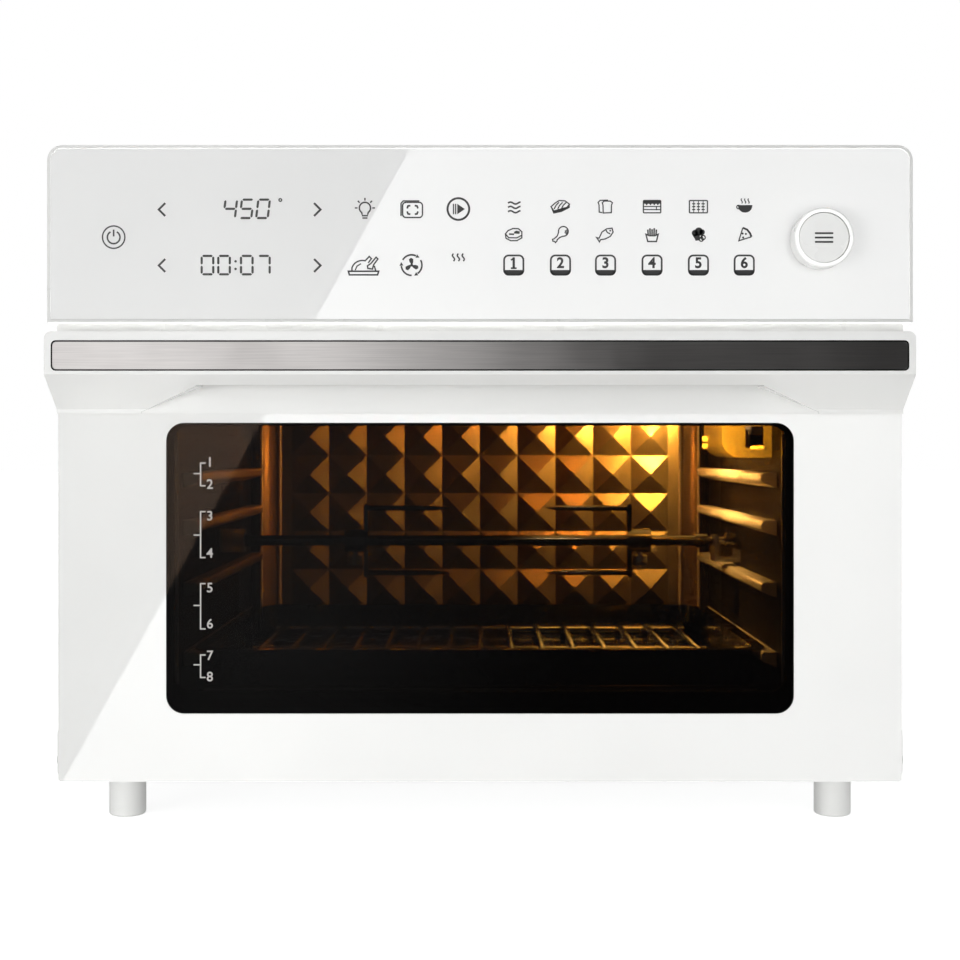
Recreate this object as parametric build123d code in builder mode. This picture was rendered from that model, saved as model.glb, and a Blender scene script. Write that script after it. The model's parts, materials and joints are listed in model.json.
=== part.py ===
from build123d import *
import os
from math import atan2, degrees

os.makedirs("parts", exist_ok=True)

# A countertop air fryer oven. Millimetres, +X right, +Y back, +Z up.
# The origin is on the table, under the middle of the bounding box.

# Casing, door and control panel
case_width = 473.0
case_depth = 325.0
case_corner_radius = 8.0
foot_height = 28.8
door_height = 250.0
door_thickness = 30.0
door_corner_radius = 2.0
door_gap = 5.0
door_side_clearance = 0.4
panel_width = 480.0
panel_height = 98.4
panel_gap = 6.4
panel_proud = 8.0
panel_corner_radius = 8.5
panel_above_case = 2.0
handle_reach = 28.0
spacer_depth = 8.0

# Sheet thicknesses and clearances
case_sheet = 1.2
frame_sheet = 1.5
liner_sheet = 1.0
bezel_wall = 2.5
fit_clearance = 0.15
running_clearance = 0.05
loose_clearance = 0.3
cut_margin = 1.0

# Cooking cavity
cavity_width = 352.0
cavity_height = 204.0
cavity_depth = 300.0
cavity_above_base = 31.0

# Depths, front to back
total_depth = handle_reach + door_thickness + door_gap + case_depth + spacer_depth
y_handle = -total_depth / 2
y_door = y_handle + handle_reach
y_door_back = y_door + door_thickness
y_panel = y_door - panel_proud
y_case = y_door_back + door_gap
y_rear = y_case + case_depth
y_frame_back = y_case + frame_sheet
y_back_wall = y_case + cavity_depth

# Heights, table up
z_base = foot_height
z_door_top = z_base + door_height
z_panel = z_door_top + panel_gap
z_top = z_panel + panel_height
z_case_top = z_top - panel_above_case
z_floor = z_base + cavity_above_base
z_ceiling = z_floor + cavity_height
z_cavity_middle = (z_floor + z_ceiling) / 2

# Half widths
case_half = case_width / 2
case_inside = case_half - case_sheet
cavity_half = cavity_width / 2
liner_half = cavity_half + liner_sheet
door_half = case_half - door_side_clearance
door_width = 2 * door_half


def facing_front(y):
    """Plane seen from the front at depth y; a negative extrude goes back."""
    return Plane.XZ.offset(-y)


def facing_side(x):
    """Plane seen from the right at x; a negative extrude goes left."""
    return Plane.YZ.offset(x)


def facing_up(z):
    """Plane seen from above at height z."""
    return Plane.XY.offset(z)


def block(x_span, y_span, z_span, mode=Mode.ADD):
    """Box between two values on each axis."""
    middle = [(low + high) / 2 for low, high in (x_span, y_span, z_span)]
    size = [high - low for low, high in (x_span, y_span, z_span)]
    with Locations(tuple(middle)):
        Box(*size, mode=mode)


def rod(start, end, radius, mode=Mode.ADD):
    """Round rod from one point to another."""
    span = Vector(*end) - Vector(*start)
    with Locations(Plane(origin=start, z_dir=span)):
        Cylinder(radius, span.length, align=(Align.CENTER, Align.CENTER, Align.MIN), mode=mode)


def screw(head_radius, head_height, shank_radius, shank_length):
    """Screw with its seat at the origin, its shank up +Z and a cross recess in the pan head."""
    recess_width = head_radius * 0.3
    recess_length = head_radius * 1.2
    with BuildPart() as pan_head:
        Cylinder(shank_radius, shank_length, align=(Align.CENTER, Align.CENTER, Align.MIN))
        Cylinder(head_radius, head_height, align=(Align.CENTER, Align.CENTER, Align.MAX))
        with Locations((0, 0, -head_height)):
            for length, width in ((recess_length, recess_width), (recess_width, recess_length)):
                Box(length, width, head_height, mode=Mode.SUBTRACT)
    return pan_head.part


def seats(places, direction):
    """Planes at the given places that face along direction."""
    return [Plane(origin=place, z_dir=direction) for place in places]


def save(part, name):
    """Label a finished piece and write it out."""
    part.label = name
    export_step(part, f"parts/{name}.step")


# Case wrap: one bent sheet over the top and both sides, vents, rear lip
case_lip = 12.0
vent_length = 34.0
vent_height = 4.0
vent_pitch_z = 10.0
vent_pitch_y = 44.0
side_vent_z = z_case_top - 50.0
side_vent_y = y_rear - 80.0
side_vent_columns = 3
side_vent_rows = 6
top_vent_y = y_rear - 60.0
top_vent_columns = 6
top_vent_rows = 5
case_height = z_case_top - z_base
rear_sheet_front = y_rear - frame_sheet

with BuildPart() as cabinet_shell:
    with BuildSketch(facing_front(y_case)) as wrap_outer:
        with Locations((0, z_base + case_height / 2)):
            Rectangle(case_width, case_height)
        fillet(wrap_outer.vertices().group_by(Axis.Y)[-1], case_corner_radius)
    extrude(amount=-case_depth)
    with BuildSketch(facing_front(y_case)) as wrap_inner:
        with Locations((0, z_base + (case_height - case_sheet) / 2)):
            Rectangle(2 * case_inside, case_height - case_sheet)
        fillet(wrap_inner.vertices().group_by(Axis.Y)[-1], case_corner_radius - case_sheet)
    extrude(amount=-case_depth, mode=Mode.SUBTRACT)
    with BuildSketch(facing_front(rear_sheet_front - case_sheet)) as lip_outer:
        with Locations((0, z_base + (case_height - case_sheet) / 2)):
            Rectangle(2 * case_inside, case_height - case_sheet)
        fillet(lip_outer.vertices().group_by(Axis.Y)[-1], case_corner_radius - case_sheet)
        with Locations((0, z_base + (case_height - case_sheet) / 2 - case_lip)):
            Rectangle(2 * (case_inside - case_lip), case_height - case_sheet, mode=Mode.SUBTRACT)
    extrude(amount=-case_sheet)
    with BuildSketch(Plane.YZ):
        with Locations((side_vent_y, side_vent_z)):
            with GridLocations(vent_pitch_y, vent_pitch_z, side_vent_columns, side_vent_rows):
                SlotOverall(vent_length, vent_height)
    extrude(amount=case_width, both=True, mode=Mode.SUBTRACT)
    with BuildSketch(facing_up(z_case_top + cut_margin)):
        with Locations((0, top_vent_y)):
            with GridLocations(vent_pitch_y, vent_pitch_z, top_vent_columns, top_vent_rows):
                SlotOverall(vent_length, vent_height)
    extrude(amount=-case_sheet - 2 * cut_margin, mode=Mode.SUBTRACT)

# Screws that hold the rear panel to the lip of the wrap
case_screw_radius = 1.8
case_screw_hole = 2.0
case_screw_x = case_inside - case_lip / 2
case_screw_head = 3.6
case_screw_head_height = 1.8
case_screw_length = 8.0
case_screw_rows = (z_base + 60.0, z_base + 170.0, z_case_top - 60.0)
case_screw_places = [(side * case_screw_x, z) for side in (-1, 1) for z in case_screw_rows]

with BuildPart() as screw_holes:
    for x, z in case_screw_places:
        rod((x, rear_sheet_front - 2 * case_sheet, z), (x, y_rear + cut_margin, z), case_screw_hole)

with BuildPart(mode=Mode.PRIVATE) as drilled_shell:
    add(cabinet_shell.part)
    add(screw_holes.part, mode=Mode.SUBTRACT)
save(drilled_shell.part, "cabinet_shell")

with BuildPart() as casing_screws:
    with Locations(seats([(x, y_rear, z) for x, z in case_screw_places], (0, -1, 0))):
        add(screw(case_screw_head, case_screw_head_height, case_screw_radius, case_screw_length))
save(casing_screws.part, "casing_screws")

# Cord gland in the rear panel
gland_x = -180.0
gland_z = z_base + 45.0
gland_radius = 7.0
gland_flange_radius = 10.0
gland_flange = 2.0
gland_inside = 3.0
gland_round = 0.8
gland_bore = 3.6

with BuildPart() as cord_gland:
    rod((gland_x, rear_sheet_front - gland_inside, gland_z), (gland_x, y_rear, gland_z), gland_radius)
    rod((gland_x, y_rear, gland_z), (gland_x, y_rear + gland_flange, gland_z), gland_flange_radius)
    fillet(cord_gland.edges().filter_by(GeomType.CIRCLE).sort_by(Axis.Y)[-1], gland_round)
    rod(
        (gland_x, rear_sheet_front - gland_inside - cut_margin, gland_z),
        (gland_x, y_rear + gland_flange + cut_margin, gland_z),
        gland_bore,
        mode=Mode.SUBTRACT,
    )
save(cord_gland.part, "cord_gland")

# Rear panel, inside the wrap, with vents
rear_vent_high_z = z_case_top - 60.0
rear_vent_high = (8, 6)
rear_vent_low_z = z_base + 60.0
rear_vent_low = (4, 4)
with BuildPart() as rear_panel:
    with BuildSketch(facing_front(rear_sheet_front)) as rear_outline:
        with Locations((0, z_base + (case_height - case_sheet) / 2)):
            Rectangle(2 * case_inside, case_height - case_sheet)
        fillet(rear_outline.vertices().group_by(Axis.Y)[-1], case_corner_radius - case_sheet)
    extrude(amount=-frame_sheet)
    with BuildSketch(facing_front(rear_sheet_front - cut_margin)):
        with Locations((0, rear_vent_high_z)):
            with GridLocations(vent_pitch_y, vent_pitch_z, *rear_vent_high):
                SlotOverall(vent_length, vent_height)
        with Locations((0, rear_vent_low_z)):
            with GridLocations(vent_pitch_y, vent_pitch_z, *rear_vent_low):
                SlotOverall(vent_length, vent_height)
    extrude(amount=-frame_sheet - 2 * cut_margin, mode=Mode.SUBTRACT)
    rod(
        (gland_x, rear_sheet_front - cut_margin, gland_z),
        (gland_x, y_rear + cut_margin, gland_z),
        gland_radius + fit_clearance,
        mode=Mode.SUBTRACT,
    )
    add(screw_holes.part, mode=Mode.SUBTRACT)
save(rear_panel.part, "rear_panel")

# Spacers that keep the rear away from the wall
spacer_x = case_half - 80.0
spacer_root_radius = 9.0
spacer_tip_radius = 6.5
spacer_rows = (z_base + 60.0, z_case_top - 20.0)
with BuildPart() as rear_spacers:
    for x in (-spacer_x, spacer_x):
        for z in spacer_rows:
            with Locations(Plane(origin=(x, y_rear, z), z_dir=(0, 1, 0))):
                Cone(
                    spacer_root_radius,
                    spacer_tip_radius,
                    spacer_depth,
                    align=(Align.CENTER, Align.CENTER, Align.MIN),
                )
save(rear_spacers.part, "rear_spacers")

# Feet and the screws that hold them to the base plate
foot_radius = 10.7
foot_x = 208.0
foot_front_y = y_case + 12.0
foot_rear_y = y_rear - 30.0
foot_screw_radius = 2.0
foot_screw_hole = 2.2
foot_recess_radius = 5.0
foot_recess_depth = 10.0
foot_round = 1.6
foot_screw_head = 4.2
foot_screw_head_height = 2.6
foot_screw_length = foot_height - 4.0
foot_places = [(x, y) for x in (-foot_x, foot_x) for y in (foot_front_y, foot_rear_y)]

with BuildPart() as feet:
    for x, y in foot_places:
        rod((x, y, 0), (x, y, foot_height), foot_radius)
    fillet(feet.edges().filter_by(GeomType.CIRCLE).group_by(Axis.Z)[0], foot_round)
    for x, y in foot_places:
        rod((x, y, -1), (x, y, foot_recess_depth), foot_recess_radius, mode=Mode.SUBTRACT)
        rod((x, y, 0), (x, y, foot_height + 1), foot_screw_hole, mode=Mode.SUBTRACT)
save(feet.part, "feet")

with BuildPart() as foot_screws:
    with Locations(seats([(x, y, foot_recess_depth) for x, y in foot_places], (0, 0, 1))):
        add(screw(foot_screw_head, foot_screw_head_height, foot_screw_radius, foot_screw_length))
save(foot_screws.part, "foot_screws")

# Base plate between the side sheets, with cooling slots
base_slot_pitch_y = 30.0
base_slot_columns = 6
base_slot_rows = 5
with BuildPart() as base_plate:
    block(
        (-case_inside, case_inside),
        (y_case, rear_sheet_front - case_sheet),
        (z_base, z_base + case_sheet),
    )
    for x, y in foot_places:
        rod((x, y, z_base - 1), (x, y, z_base + 2 * case_sheet), foot_screw_hole, mode=Mode.SUBTRACT)
    with BuildSketch(facing_up(z_base - cut_margin)):
        with Locations((0, (y_case + y_rear) / 2)):
            with GridLocations(vent_pitch_y, base_slot_pitch_y, base_slot_columns, base_slot_rows):
                SlotOverall(vent_length, vent_height)
    extrude(amount=case_sheet + 2 * cut_margin, mode=Mode.SUBTRACT)
save(base_plate.part, "base_plate")

# Front frame: the plate round the cavity mouth, up behind the control panel
z_frame = z_base + case_sheet
z_frame_top = z_case_top - case_corner_radius
mouth_radius = 3.0
with BuildPart() as front_frame:
    block((-case_inside, case_inside), (y_case, y_frame_back), (z_frame, z_frame_top))
    block(
        (-cavity_half, cavity_half),
        (y_case - 1, y_frame_back + 1),
        (z_floor, z_ceiling),
        mode=Mode.SUBTRACT,
    )
    fillet(
        front_frame.edges().filter_by(Axis.Y).filter_by_position(Axis.X, -cavity_half, cavity_half),
        mouth_radius,
    )
save(front_frame.part, "front_frame")

# Rotisserie line and heating element lines, which pass through the walls
spit_y = y_case + cavity_depth / 2
spit_z = z_floor + 93.1
element_radius = 3.2
element_z = z_floor + 8.0
element_lines = (y_case + 70.0, y_case + 230.0)
socket_radius = 8.0
socket_clearance = 1.0
lamp_y = y_case + 68.0
lamp_z = z_ceiling - 30.0
lamp_holder_radius = 10.0

# Side walls of the cavity, each with four pressed shelf ledges and a cove at the back corner
cove_size = 17.0
cove_radius = 16.5
ledge_reach = 9.5
ledge_thickness = 5.5
ledge_root = 9.0
ledge_nose_radius = 2.4
ledge_front = y_frame_back + 12.0
ledge_back = y_back_wall - cove_size - 1.0
ledge_tops = [z_floor + height for height in (35.0, 76.2, 112.7, 141.2)]


def side_wall(side):
    """One cavity side wall; side is -1 on the left and 1 on the right."""
    with BuildPart() as wall:
        inner = side * cavity_half
        outer = side * liner_half
        block(
            (min(inner, outer), max(inner, outer)),
            (y_frame_back, y_back_wall),
            (z_floor, z_ceiling),
        )
        with BuildSketch(facing_front(ledge_front)) as ledges:
            for top in ledge_tops:
                with BuildLine():
                    Polyline(
                        (inner, top),
                        (inner - side * ledge_reach, top),
                        (inner - side * ledge_reach, top - ledge_thickness),
                        (inner, top - ledge_root),
                        close=True,
                    )
                make_face()
        extrude(ledges.sketch, amount=-(ledge_back - ledge_front))
        fillet(
            wall.edges().filter_by(Axis.Y).group_by(Axis.X)[0 if side > 0 else -1],
            ledge_nose_radius,
        )
        with BuildSketch(facing_up(z_floor)) as cove:
            with Locations((side * (cavity_half - cove_size / 2), y_back_wall - cove_size / 2)):
                Rectangle(cove_size, cove_size)
            with Locations((side * (cavity_half - cove_size), y_back_wall - cove_size)):
                Circle(cove_radius, mode=Mode.SUBTRACT)
        extrude(cove.sketch, amount=cavity_height)
        for y in element_lines:
            rod(
                (side * (cavity_half - 1), y, element_z),
                (side * (liner_half + 1), y, element_z),
                element_radius + fit_clearance,
                mode=Mode.SUBTRACT,
            )
    return wall.part


with BuildPart() as side_wall_left:
    add(side_wall(-1))
    rod(
        (-liner_half - 1, spit_y, spit_z),
        (-cavity_half + 1, spit_y, spit_z),
        socket_radius + socket_clearance,
        mode=Mode.SUBTRACT,
    )
save(side_wall_left.part, "side_wall_left")

with BuildPart() as side_wall_right:
    add(side_wall(1))
    rod(
        (cavity_half - 1, lamp_y, lamp_z),
        (liner_half + 1, lamp_y, lamp_z),
        lamp_holder_radius + fit_clearance,
        mode=Mode.SUBTRACT,
    )
save(side_wall_right.part, "side_wall_right")

# Back wall, pressed all over with square pyramids that point into the cavity
emboss_columns = 10
emboss_rows = 6
emboss_pitch_x = 29.4
emboss_pitch_z = 29.5
emboss_height = 6.5
emboss_tip = 1.6
emboss_groove = 0.6
emboss_middle_z = z_floor + 91.5
probe_x = 150.0
probe_z = z_ceiling - 14.0
probe_radius = 2.0
probe_reach = 38.0
probe_tail = 10.0
probe_flange = 2.5
probe_flange_radius = 5.5
emboss_base = emboss_pitch_x - emboss_groove
emboss_taper = degrees(atan2((emboss_base - emboss_tip) / 2, emboss_height))

with BuildPart() as back_wall:
    block((-liner_half, liner_half), (y_back_wall, y_back_wall + liner_sheet), (z_floor, z_ceiling))
    with BuildSketch(facing_front(y_back_wall)):
        with Locations((0, emboss_middle_z)):
            with GridLocations(emboss_pitch_x, emboss_pitch_z, emboss_columns, emboss_rows):
                Rectangle(emboss_base, emboss_base)
    extrude(amount=emboss_height, taper=emboss_taper)
    with BuildSketch(facing_front(y_back_wall + liner_sheet)):
        with Locations((0, emboss_middle_z)):
            with GridLocations(emboss_pitch_x, emboss_pitch_z, emboss_columns, emboss_rows):
                Rectangle(emboss_base, emboss_base)
    extrude(amount=emboss_height, taper=emboss_taper, mode=Mode.SUBTRACT)
    rod(
        (probe_x, y_back_wall - 1, probe_z),
        (probe_x, y_back_wall + liner_sheet + 1, probe_z),
        probe_radius + fit_clearance,
        mode=Mode.SUBTRACT,
    )
save(back_wall.part, "back_wall")

# Temperature probe through the back wall
with BuildPart() as temperature_probe:
    rod(
        (probe_x, y_back_wall - probe_reach, probe_z),
        (probe_x, y_back_wall + probe_tail, probe_z),
        probe_radius,
    )
    fillet(temperature_probe.edges().sort_by(Axis.Y)[0], probe_radius * 0.9)
    rod(
        (probe_x, y_back_wall + liner_sheet, probe_z),
        (probe_x, y_back_wall + liner_sheet + probe_flange, probe_z),
        probe_flange_radius,
    )
save(temperature_probe.part, "temperature_probe")

# Cavity ceiling with the fan opening, and the floor
fan_x = 0.0
fan_y = spit_y
fan_opening = 74.0
housing_radius = 92.0
housing_height = 38.0
housing_round = 5.0
shaft_clearance = 1.0
ceiling_top = z_ceiling + liner_sheet
housing_top = ceiling_top + housing_height

with BuildPart() as ceiling_plate:
    block(
        (-liner_half, liner_half),
        (y_frame_back, y_back_wall + liner_sheet),
        (z_ceiling, ceiling_top),
    )
    rod((fan_x, fan_y, z_ceiling - 1), (fan_x, fan_y, ceiling_top + 1), fan_opening, mode=Mode.SUBTRACT)
save(ceiling_plate.part, "ceiling_plate")

with BuildPart() as floor_pan:
    block(
        (-liner_half, liner_half),
        (y_frame_back, y_back_wall + liner_sheet),
        (z_floor - liner_sheet, z_floor),
    )
save(floor_pan.part, "floor_pan")

# Fan housing over the opening, with holes for the shaft and the element ends
shaft_radius = 3.0
upper_ring_radius = 78.0
terminal_radius = 2.6
terminal_rise = 14.0
terminal_corner = element_radius + 0.3
upper_ring_z = ceiling_top + 11.0
ring_gap_angle = 16.0
terminal_angles = (90.0 + ring_gap_angle / 2, 90.0 - ring_gap_angle / 2)
terminal_places = [
    (Vector(upper_ring_radius, 0, 0).rotate(Axis.Z, angle) + Vector(fan_x, fan_y, 0))
    for angle in terminal_angles
]

with BuildPart() as fan_housing:
    rod((fan_x, fan_y, ceiling_top), (fan_x, fan_y, housing_top), housing_radius)
    fillet(fan_housing.edges().filter_by(GeomType.CIRCLE).sort_by(Axis.Z)[-1], housing_round)
    offset(amount=-liner_sheet, openings=fan_housing.faces().sort_by(Axis.Z)[0])
    rod(
        (fan_x, fan_y, ceiling_top),
        (fan_x, fan_y, housing_top + 1),
        shaft_radius + shaft_clearance,
        mode=Mode.SUBTRACT,
    )
    for place in terminal_places:
        rod(
            (place.X, place.Y, housing_top - housing_round),
            (place.X, place.Y, housing_top + 1),
            terminal_radius + fit_clearance,
            mode=Mode.SUBTRACT,
        )
save(fan_housing.part, "fan_housing")

# Slotted guard under the fan opening
guard_sheet = 1.2
guard_lap = 8.0
guard_slot_length = 11.0
guard_slot_width = 5.0
guard_rings = ((20.0, 8), (36.0, 14), (52.0, 20), (66.0, 26))
with BuildPart() as fan_guard:
    rod((fan_x, fan_y, z_ceiling - guard_sheet), (fan_x, fan_y, z_ceiling), fan_opening + guard_lap)
    for ring_radius, slot_count in guard_rings:
        with BuildSketch(facing_up(z_ceiling - guard_sheet - 1)) as ring_slots:
            with Locations((fan_x, fan_y)):
                with PolarLocations(ring_radius, slot_count):
                    SlotOverall(guard_slot_length, guard_slot_width)
        extrude(ring_slots.sketch, amount=guard_sheet + 2, mode=Mode.SUBTRACT)
save(fan_guard.part, "fan_guard")

# Heating elements: a ring round the fan, and two rods under the pan
ring_centre = (fan_x, fan_y, upper_ring_z)
ring_start = Vector(1, 0, 0).rotate(Axis.Z, terminal_angles[0])

with BuildPart() as upper_element:
    with BuildSketch(Plane(origin=ring_centre, x_dir=ring_start, z_dir=ring_start.rotate(Axis.Z, -90))):
        with Locations((upper_ring_radius, 0)):
            Circle(element_radius)
    revolve(axis=Axis(ring_centre, (0, 0, 1)), revolution_arc=360 - ring_gap_angle)
    for place in terminal_places:
        with Locations((place.X, place.Y, upper_ring_z)):
            Sphere(terminal_corner)
        rod(
            (place.X, place.Y, upper_ring_z),
            (place.X, place.Y, housing_top + terminal_rise),
            terminal_radius,
        )
save(upper_element.part, "upper_element")

element_tail = 14.0
element_end = liner_half + element_tail
with BuildPart() as lower_elements:
    for y in element_lines:
        rod((-element_end, y, element_z), (element_end, y, element_z), element_radius)
save(lower_elements.part, "lower_elements")

bush_radius = 6.5
bush_length = 5.0
with BuildPart() as element_bushes:
    for y in element_lines:
        for side in (-1, 1):
            rod(
                (side * liner_half, y, element_z),
                (side * (liner_half + bush_length), y, element_z),
                bush_radius,
            )
    for place in terminal_places:
        rod(
            (place.X, place.Y, housing_top),
            (place.X, place.Y, housing_top + bush_length),
            bush_radius,
        )
    for y in element_lines:
        rod(
            (-element_end, y, element_z),
            (element_end, y, element_z),
            element_radius + fit_clearance,
            mode=Mode.SUBTRACT,
        )
    for place in terminal_places:
        rod(
            (place.X, place.Y, housing_top - 1),
            (place.X, place.Y, housing_top + bush_length + 1),
            terminal_radius + fit_clearance,
            mode=Mode.SUBTRACT,
        )
save(element_bushes.part, "element_bushes")

# Fan: one shaft with the convection fan below and the cooling fan above
fan_radius = 60.0
fan_bottom = ceiling_top + 4.0
blade_height = 14.0
fan_disc = 1.2
hub_radius = 8.0
blade_sheet = 1.2
blade_hub_gap = 7.0
blade_rim_gap = 1.0
cooling_bottom = housing_top + 6.0
cooling_radius = 44.0
cooling_height = 10.0
bracket_sheet = 1.5
bracket_bottom = cooling_bottom + cooling_height + fan_disc + 5.0
motor_bottom = bracket_bottom + bracket_sheet
motor_height = 28.0
motor_width = 52.0
motor_corner = 8.0
motor_boss = 4.0
motor_boss_radius = 10.0


def bladed_fan(bottom, height, radius, blades):
    """Disc on top of upright blades round a bored hub."""
    with BuildPart() as fan:
        disc_bottom = bottom + height
        blade_start = hub_radius + blade_hub_gap
        blade_end = radius - blade_rim_gap
        rod((fan_x, fan_y, disc_bottom), (fan_x, fan_y, disc_bottom + fan_disc), radius)
        rod((fan_x, fan_y, bottom), (fan_x, fan_y, disc_bottom), hub_radius)
        with BuildSketch(facing_up(bottom)) as blade_outline:
            with Locations((fan_x, fan_y)):
                with PolarLocations((blade_start + blade_end) / 2, blades):
                    Rectangle(blade_end - blade_start, blade_sheet)
        extrude(blade_outline.sketch, amount=height)
        rod(
            (fan_x, fan_y, bottom - 1),
            (fan_x, fan_y, disc_bottom + fan_disc + 1),
            shaft_radius + running_clearance,
            mode=Mode.SUBTRACT,
        )
    return fan.part


with BuildPart() as convection_fan:
    add(bladed_fan(fan_bottom, blade_height, fan_radius, 10))
save(convection_fan.part, "convection_fan")

with BuildPart() as cooling_fan:
    add(bladed_fan(cooling_bottom, cooling_height, cooling_radius, 12))
save(cooling_fan.part, "cooling_fan")

with BuildPart() as fan_shaft:
    rod((fan_x, fan_y, fan_bottom - 2), (fan_x, fan_y, motor_bottom + motor_height + 2), shaft_radius)
save(fan_shaft.part, "fan_shaft")

with BuildPart() as fan_motor:
    with BuildSketch(facing_up(motor_bottom)) as motor_outline:
        with Locations((fan_x, fan_y)):
            Rectangle(motor_width, motor_width)
        fillet(motor_outline.vertices(), motor_corner)
    extrude(amount=motor_height)
    rod(
        (fan_x, fan_y, motor_bottom + motor_height),
        (fan_x, fan_y, motor_bottom + motor_height + motor_boss),
        motor_boss_radius,
    )
    rod(
        (fan_x, fan_y, motor_bottom - 1),
        (fan_x, fan_y, motor_bottom + motor_height + motor_boss + 1),
        shaft_radius + running_clearance,
        mode=Mode.SUBTRACT,
    )
save(fan_motor.part, "fan_motor")

# Bridge that carries the motor over the cooling fan, standing on the housing
bracket_half = cooling_radius + 16.0
bracket_hole = 9.0
bracket_width = 44.0
bracket_foot = 12.0
with BuildPart() as motor_bracket:
    bracket_y = (fan_y - bracket_width / 2, fan_y + bracket_width / 2)
    block((fan_x - bracket_half, fan_x + bracket_half), bracket_y, (bracket_bottom, motor_bottom))
    for side in (-1, 1):
        leg = sorted((fan_x + side * bracket_half, fan_x + side * (bracket_half - bracket_sheet)))
        toe = sorted((fan_x + side * bracket_half, fan_x + side * (bracket_half + bracket_foot)))
        block(leg, bracket_y, (housing_top, bracket_bottom))
        block(toe, bracket_y, (housing_top, housing_top + bracket_sheet))
    rod(
        (fan_x, fan_y, bracket_bottom - 1),
        (fan_x, fan_y, motor_bottom + 1),
        bracket_hole,
        mode=Mode.SUBTRACT,
    )
save(motor_bracket.part, "motor_bracket")

# Crumb tray on the cavity floor
tray_sheet = 0.8
tray_half = cavity_half - 2.0
tray_front = y_frame_back + 3.0
tray_back = y_back_wall - emboss_height - 6.0
tray_lip = 3.6
with BuildPart() as crumb_tray:
    block((-tray_half, tray_half), (tray_front, tray_back), (z_floor, z_floor + tray_lip))
    block(
        (-tray_half + tray_sheet, tray_half - tray_sheet),
        (tray_front + tray_sheet, tray_back - tray_sheet),
        (z_floor + tray_sheet, z_floor + tray_lip + 1),
        mode=Mode.SUBTRACT,
    )
save(crumb_tray.part, "crumb_tray")

# Drip pan, hung by its rim on the lowest ledges
pan_rim_z = ledge_tops[0]
pan_sheet = 1.0
pan_half = cavity_half - 4.0
pan_front = y_frame_back + 16.0
pan_back = y_back_wall - emboss_height - 5.0
pan_rim = 7.0
pan_corner = 14.0
pan_rim_corner = 16.0
pan_depth = 21.0
pan_body_half = cavity_half - ledge_reach - 1.0
pan_body_front = pan_front + pan_rim
pan_body_back = pan_back - pan_rim
pan_middle_y = (pan_body_front + pan_body_back) / 2
pan_body_depth = pan_body_back - pan_body_front
pan_floor = pan_rim_z - pan_depth

with BuildPart() as drip_pan:
    with BuildSketch(facing_up(pan_floor)) as pan_outline:
        with Locations((0, pan_middle_y)):
            RectangleRounded(2 * pan_body_half, pan_body_depth, pan_corner)
    extrude(amount=pan_depth)
    with BuildSketch(facing_up(pan_rim_z)) as rim_outline:
        with Locations((0, (pan_front + pan_back) / 2)):
            RectangleRounded(2 * pan_half, pan_back - pan_front, pan_rim_corner)
    extrude(amount=pan_sheet)
    with BuildSketch(facing_up(pan_floor + pan_sheet)) as pan_hollow:
        with Locations((0, pan_middle_y)):
            RectangleRounded(
                2 * (pan_body_half - pan_sheet),
                pan_body_depth - 2 * pan_sheet,
                pan_corner - pan_sheet,
            )
    extrude(amount=pan_depth + 1, mode=Mode.SUBTRACT)
save(drip_pan.part, "drip_pan")

# Wire rack standing in the pan
rack_rod = 2.3
rack_edge = 3.0
rack_pitch = 21.0
rack_rods = 15
rack_inset = 8.0
rack_overhang = 2.0
rack_half = rack_pitch * (rack_rods - 1) / 2 + rack_inset
rack_front = pan_body_front + rack_inset
rack_back = pan_body_back - rack_inset
rack_foot_z = pan_floor + pan_sheet
rack_cross_z = rack_foot_z + rack_edge
rack_rod_z = rack_cross_z + rack_edge
with BuildPart() as wire_rack:
    cross_places = [(0, y, rack_cross_z) for y in (rack_front, pan_middle_y, rack_back)]
    with Locations(seats(cross_places, (1, 0, 0))):
        Cylinder(rack_edge, 2 * rack_half)
    rod_columns = [(index - (rack_rods - 1) / 2) * rack_pitch for index in range(rack_rods)]
    with Locations(seats([(x, pan_middle_y, rack_rod_z) for x in rod_columns], (0, 1, 0))):
        Cylinder(rack_rod, rack_back - rack_front + 2 * rack_overhang)
save(wire_rack.part, "wire_rack")

# Rotisserie: socket on the motor, spit, two forks and their thumb screws
socket_outer = -cavity_half + 16.0
socket_bore_depth = 12.0
socket_square = 8.0
stem_radius = 5.0
stem_length = 16.0
motor_face = -liner_half - loose_clearance
motor_depth = 36.0
motor_block_half = 24.0
motor_can_length = 14.0
motor_can_radius = 17.0
spit_square = socket_square - loose_clearance
spit_square_tail = 4.0
spit_radius = 3.6
collar_radius = 4.8
journal_radius = 2.5
spit_end_radius = 5.0
spit_start = socket_outer - socket_bore_depth + 1.0
collar_start = cavity_half - 29.5
collar_end = cavity_half - 21.5
spit_end_start = cavity_half - 9.0
spit_end = cavity_half - 2.0

with BuildPart() as drive_socket:
    rod((motor_face + loose_clearance, spit_y, spit_z), (socket_outer, spit_y, spit_z), socket_radius)
    rod(
        (motor_face - stem_length, spit_y, spit_z),
        (motor_face + loose_clearance, spit_y, spit_z),
        stem_radius,
    )
    block(
        (socket_outer - socket_bore_depth, socket_outer + 1),
        (spit_y - socket_square / 2, spit_y + socket_square / 2),
        (spit_z - socket_square / 2, spit_z + socket_square / 2),
        mode=Mode.SUBTRACT,
    )
save(drive_socket.part, "drive_socket")

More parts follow.
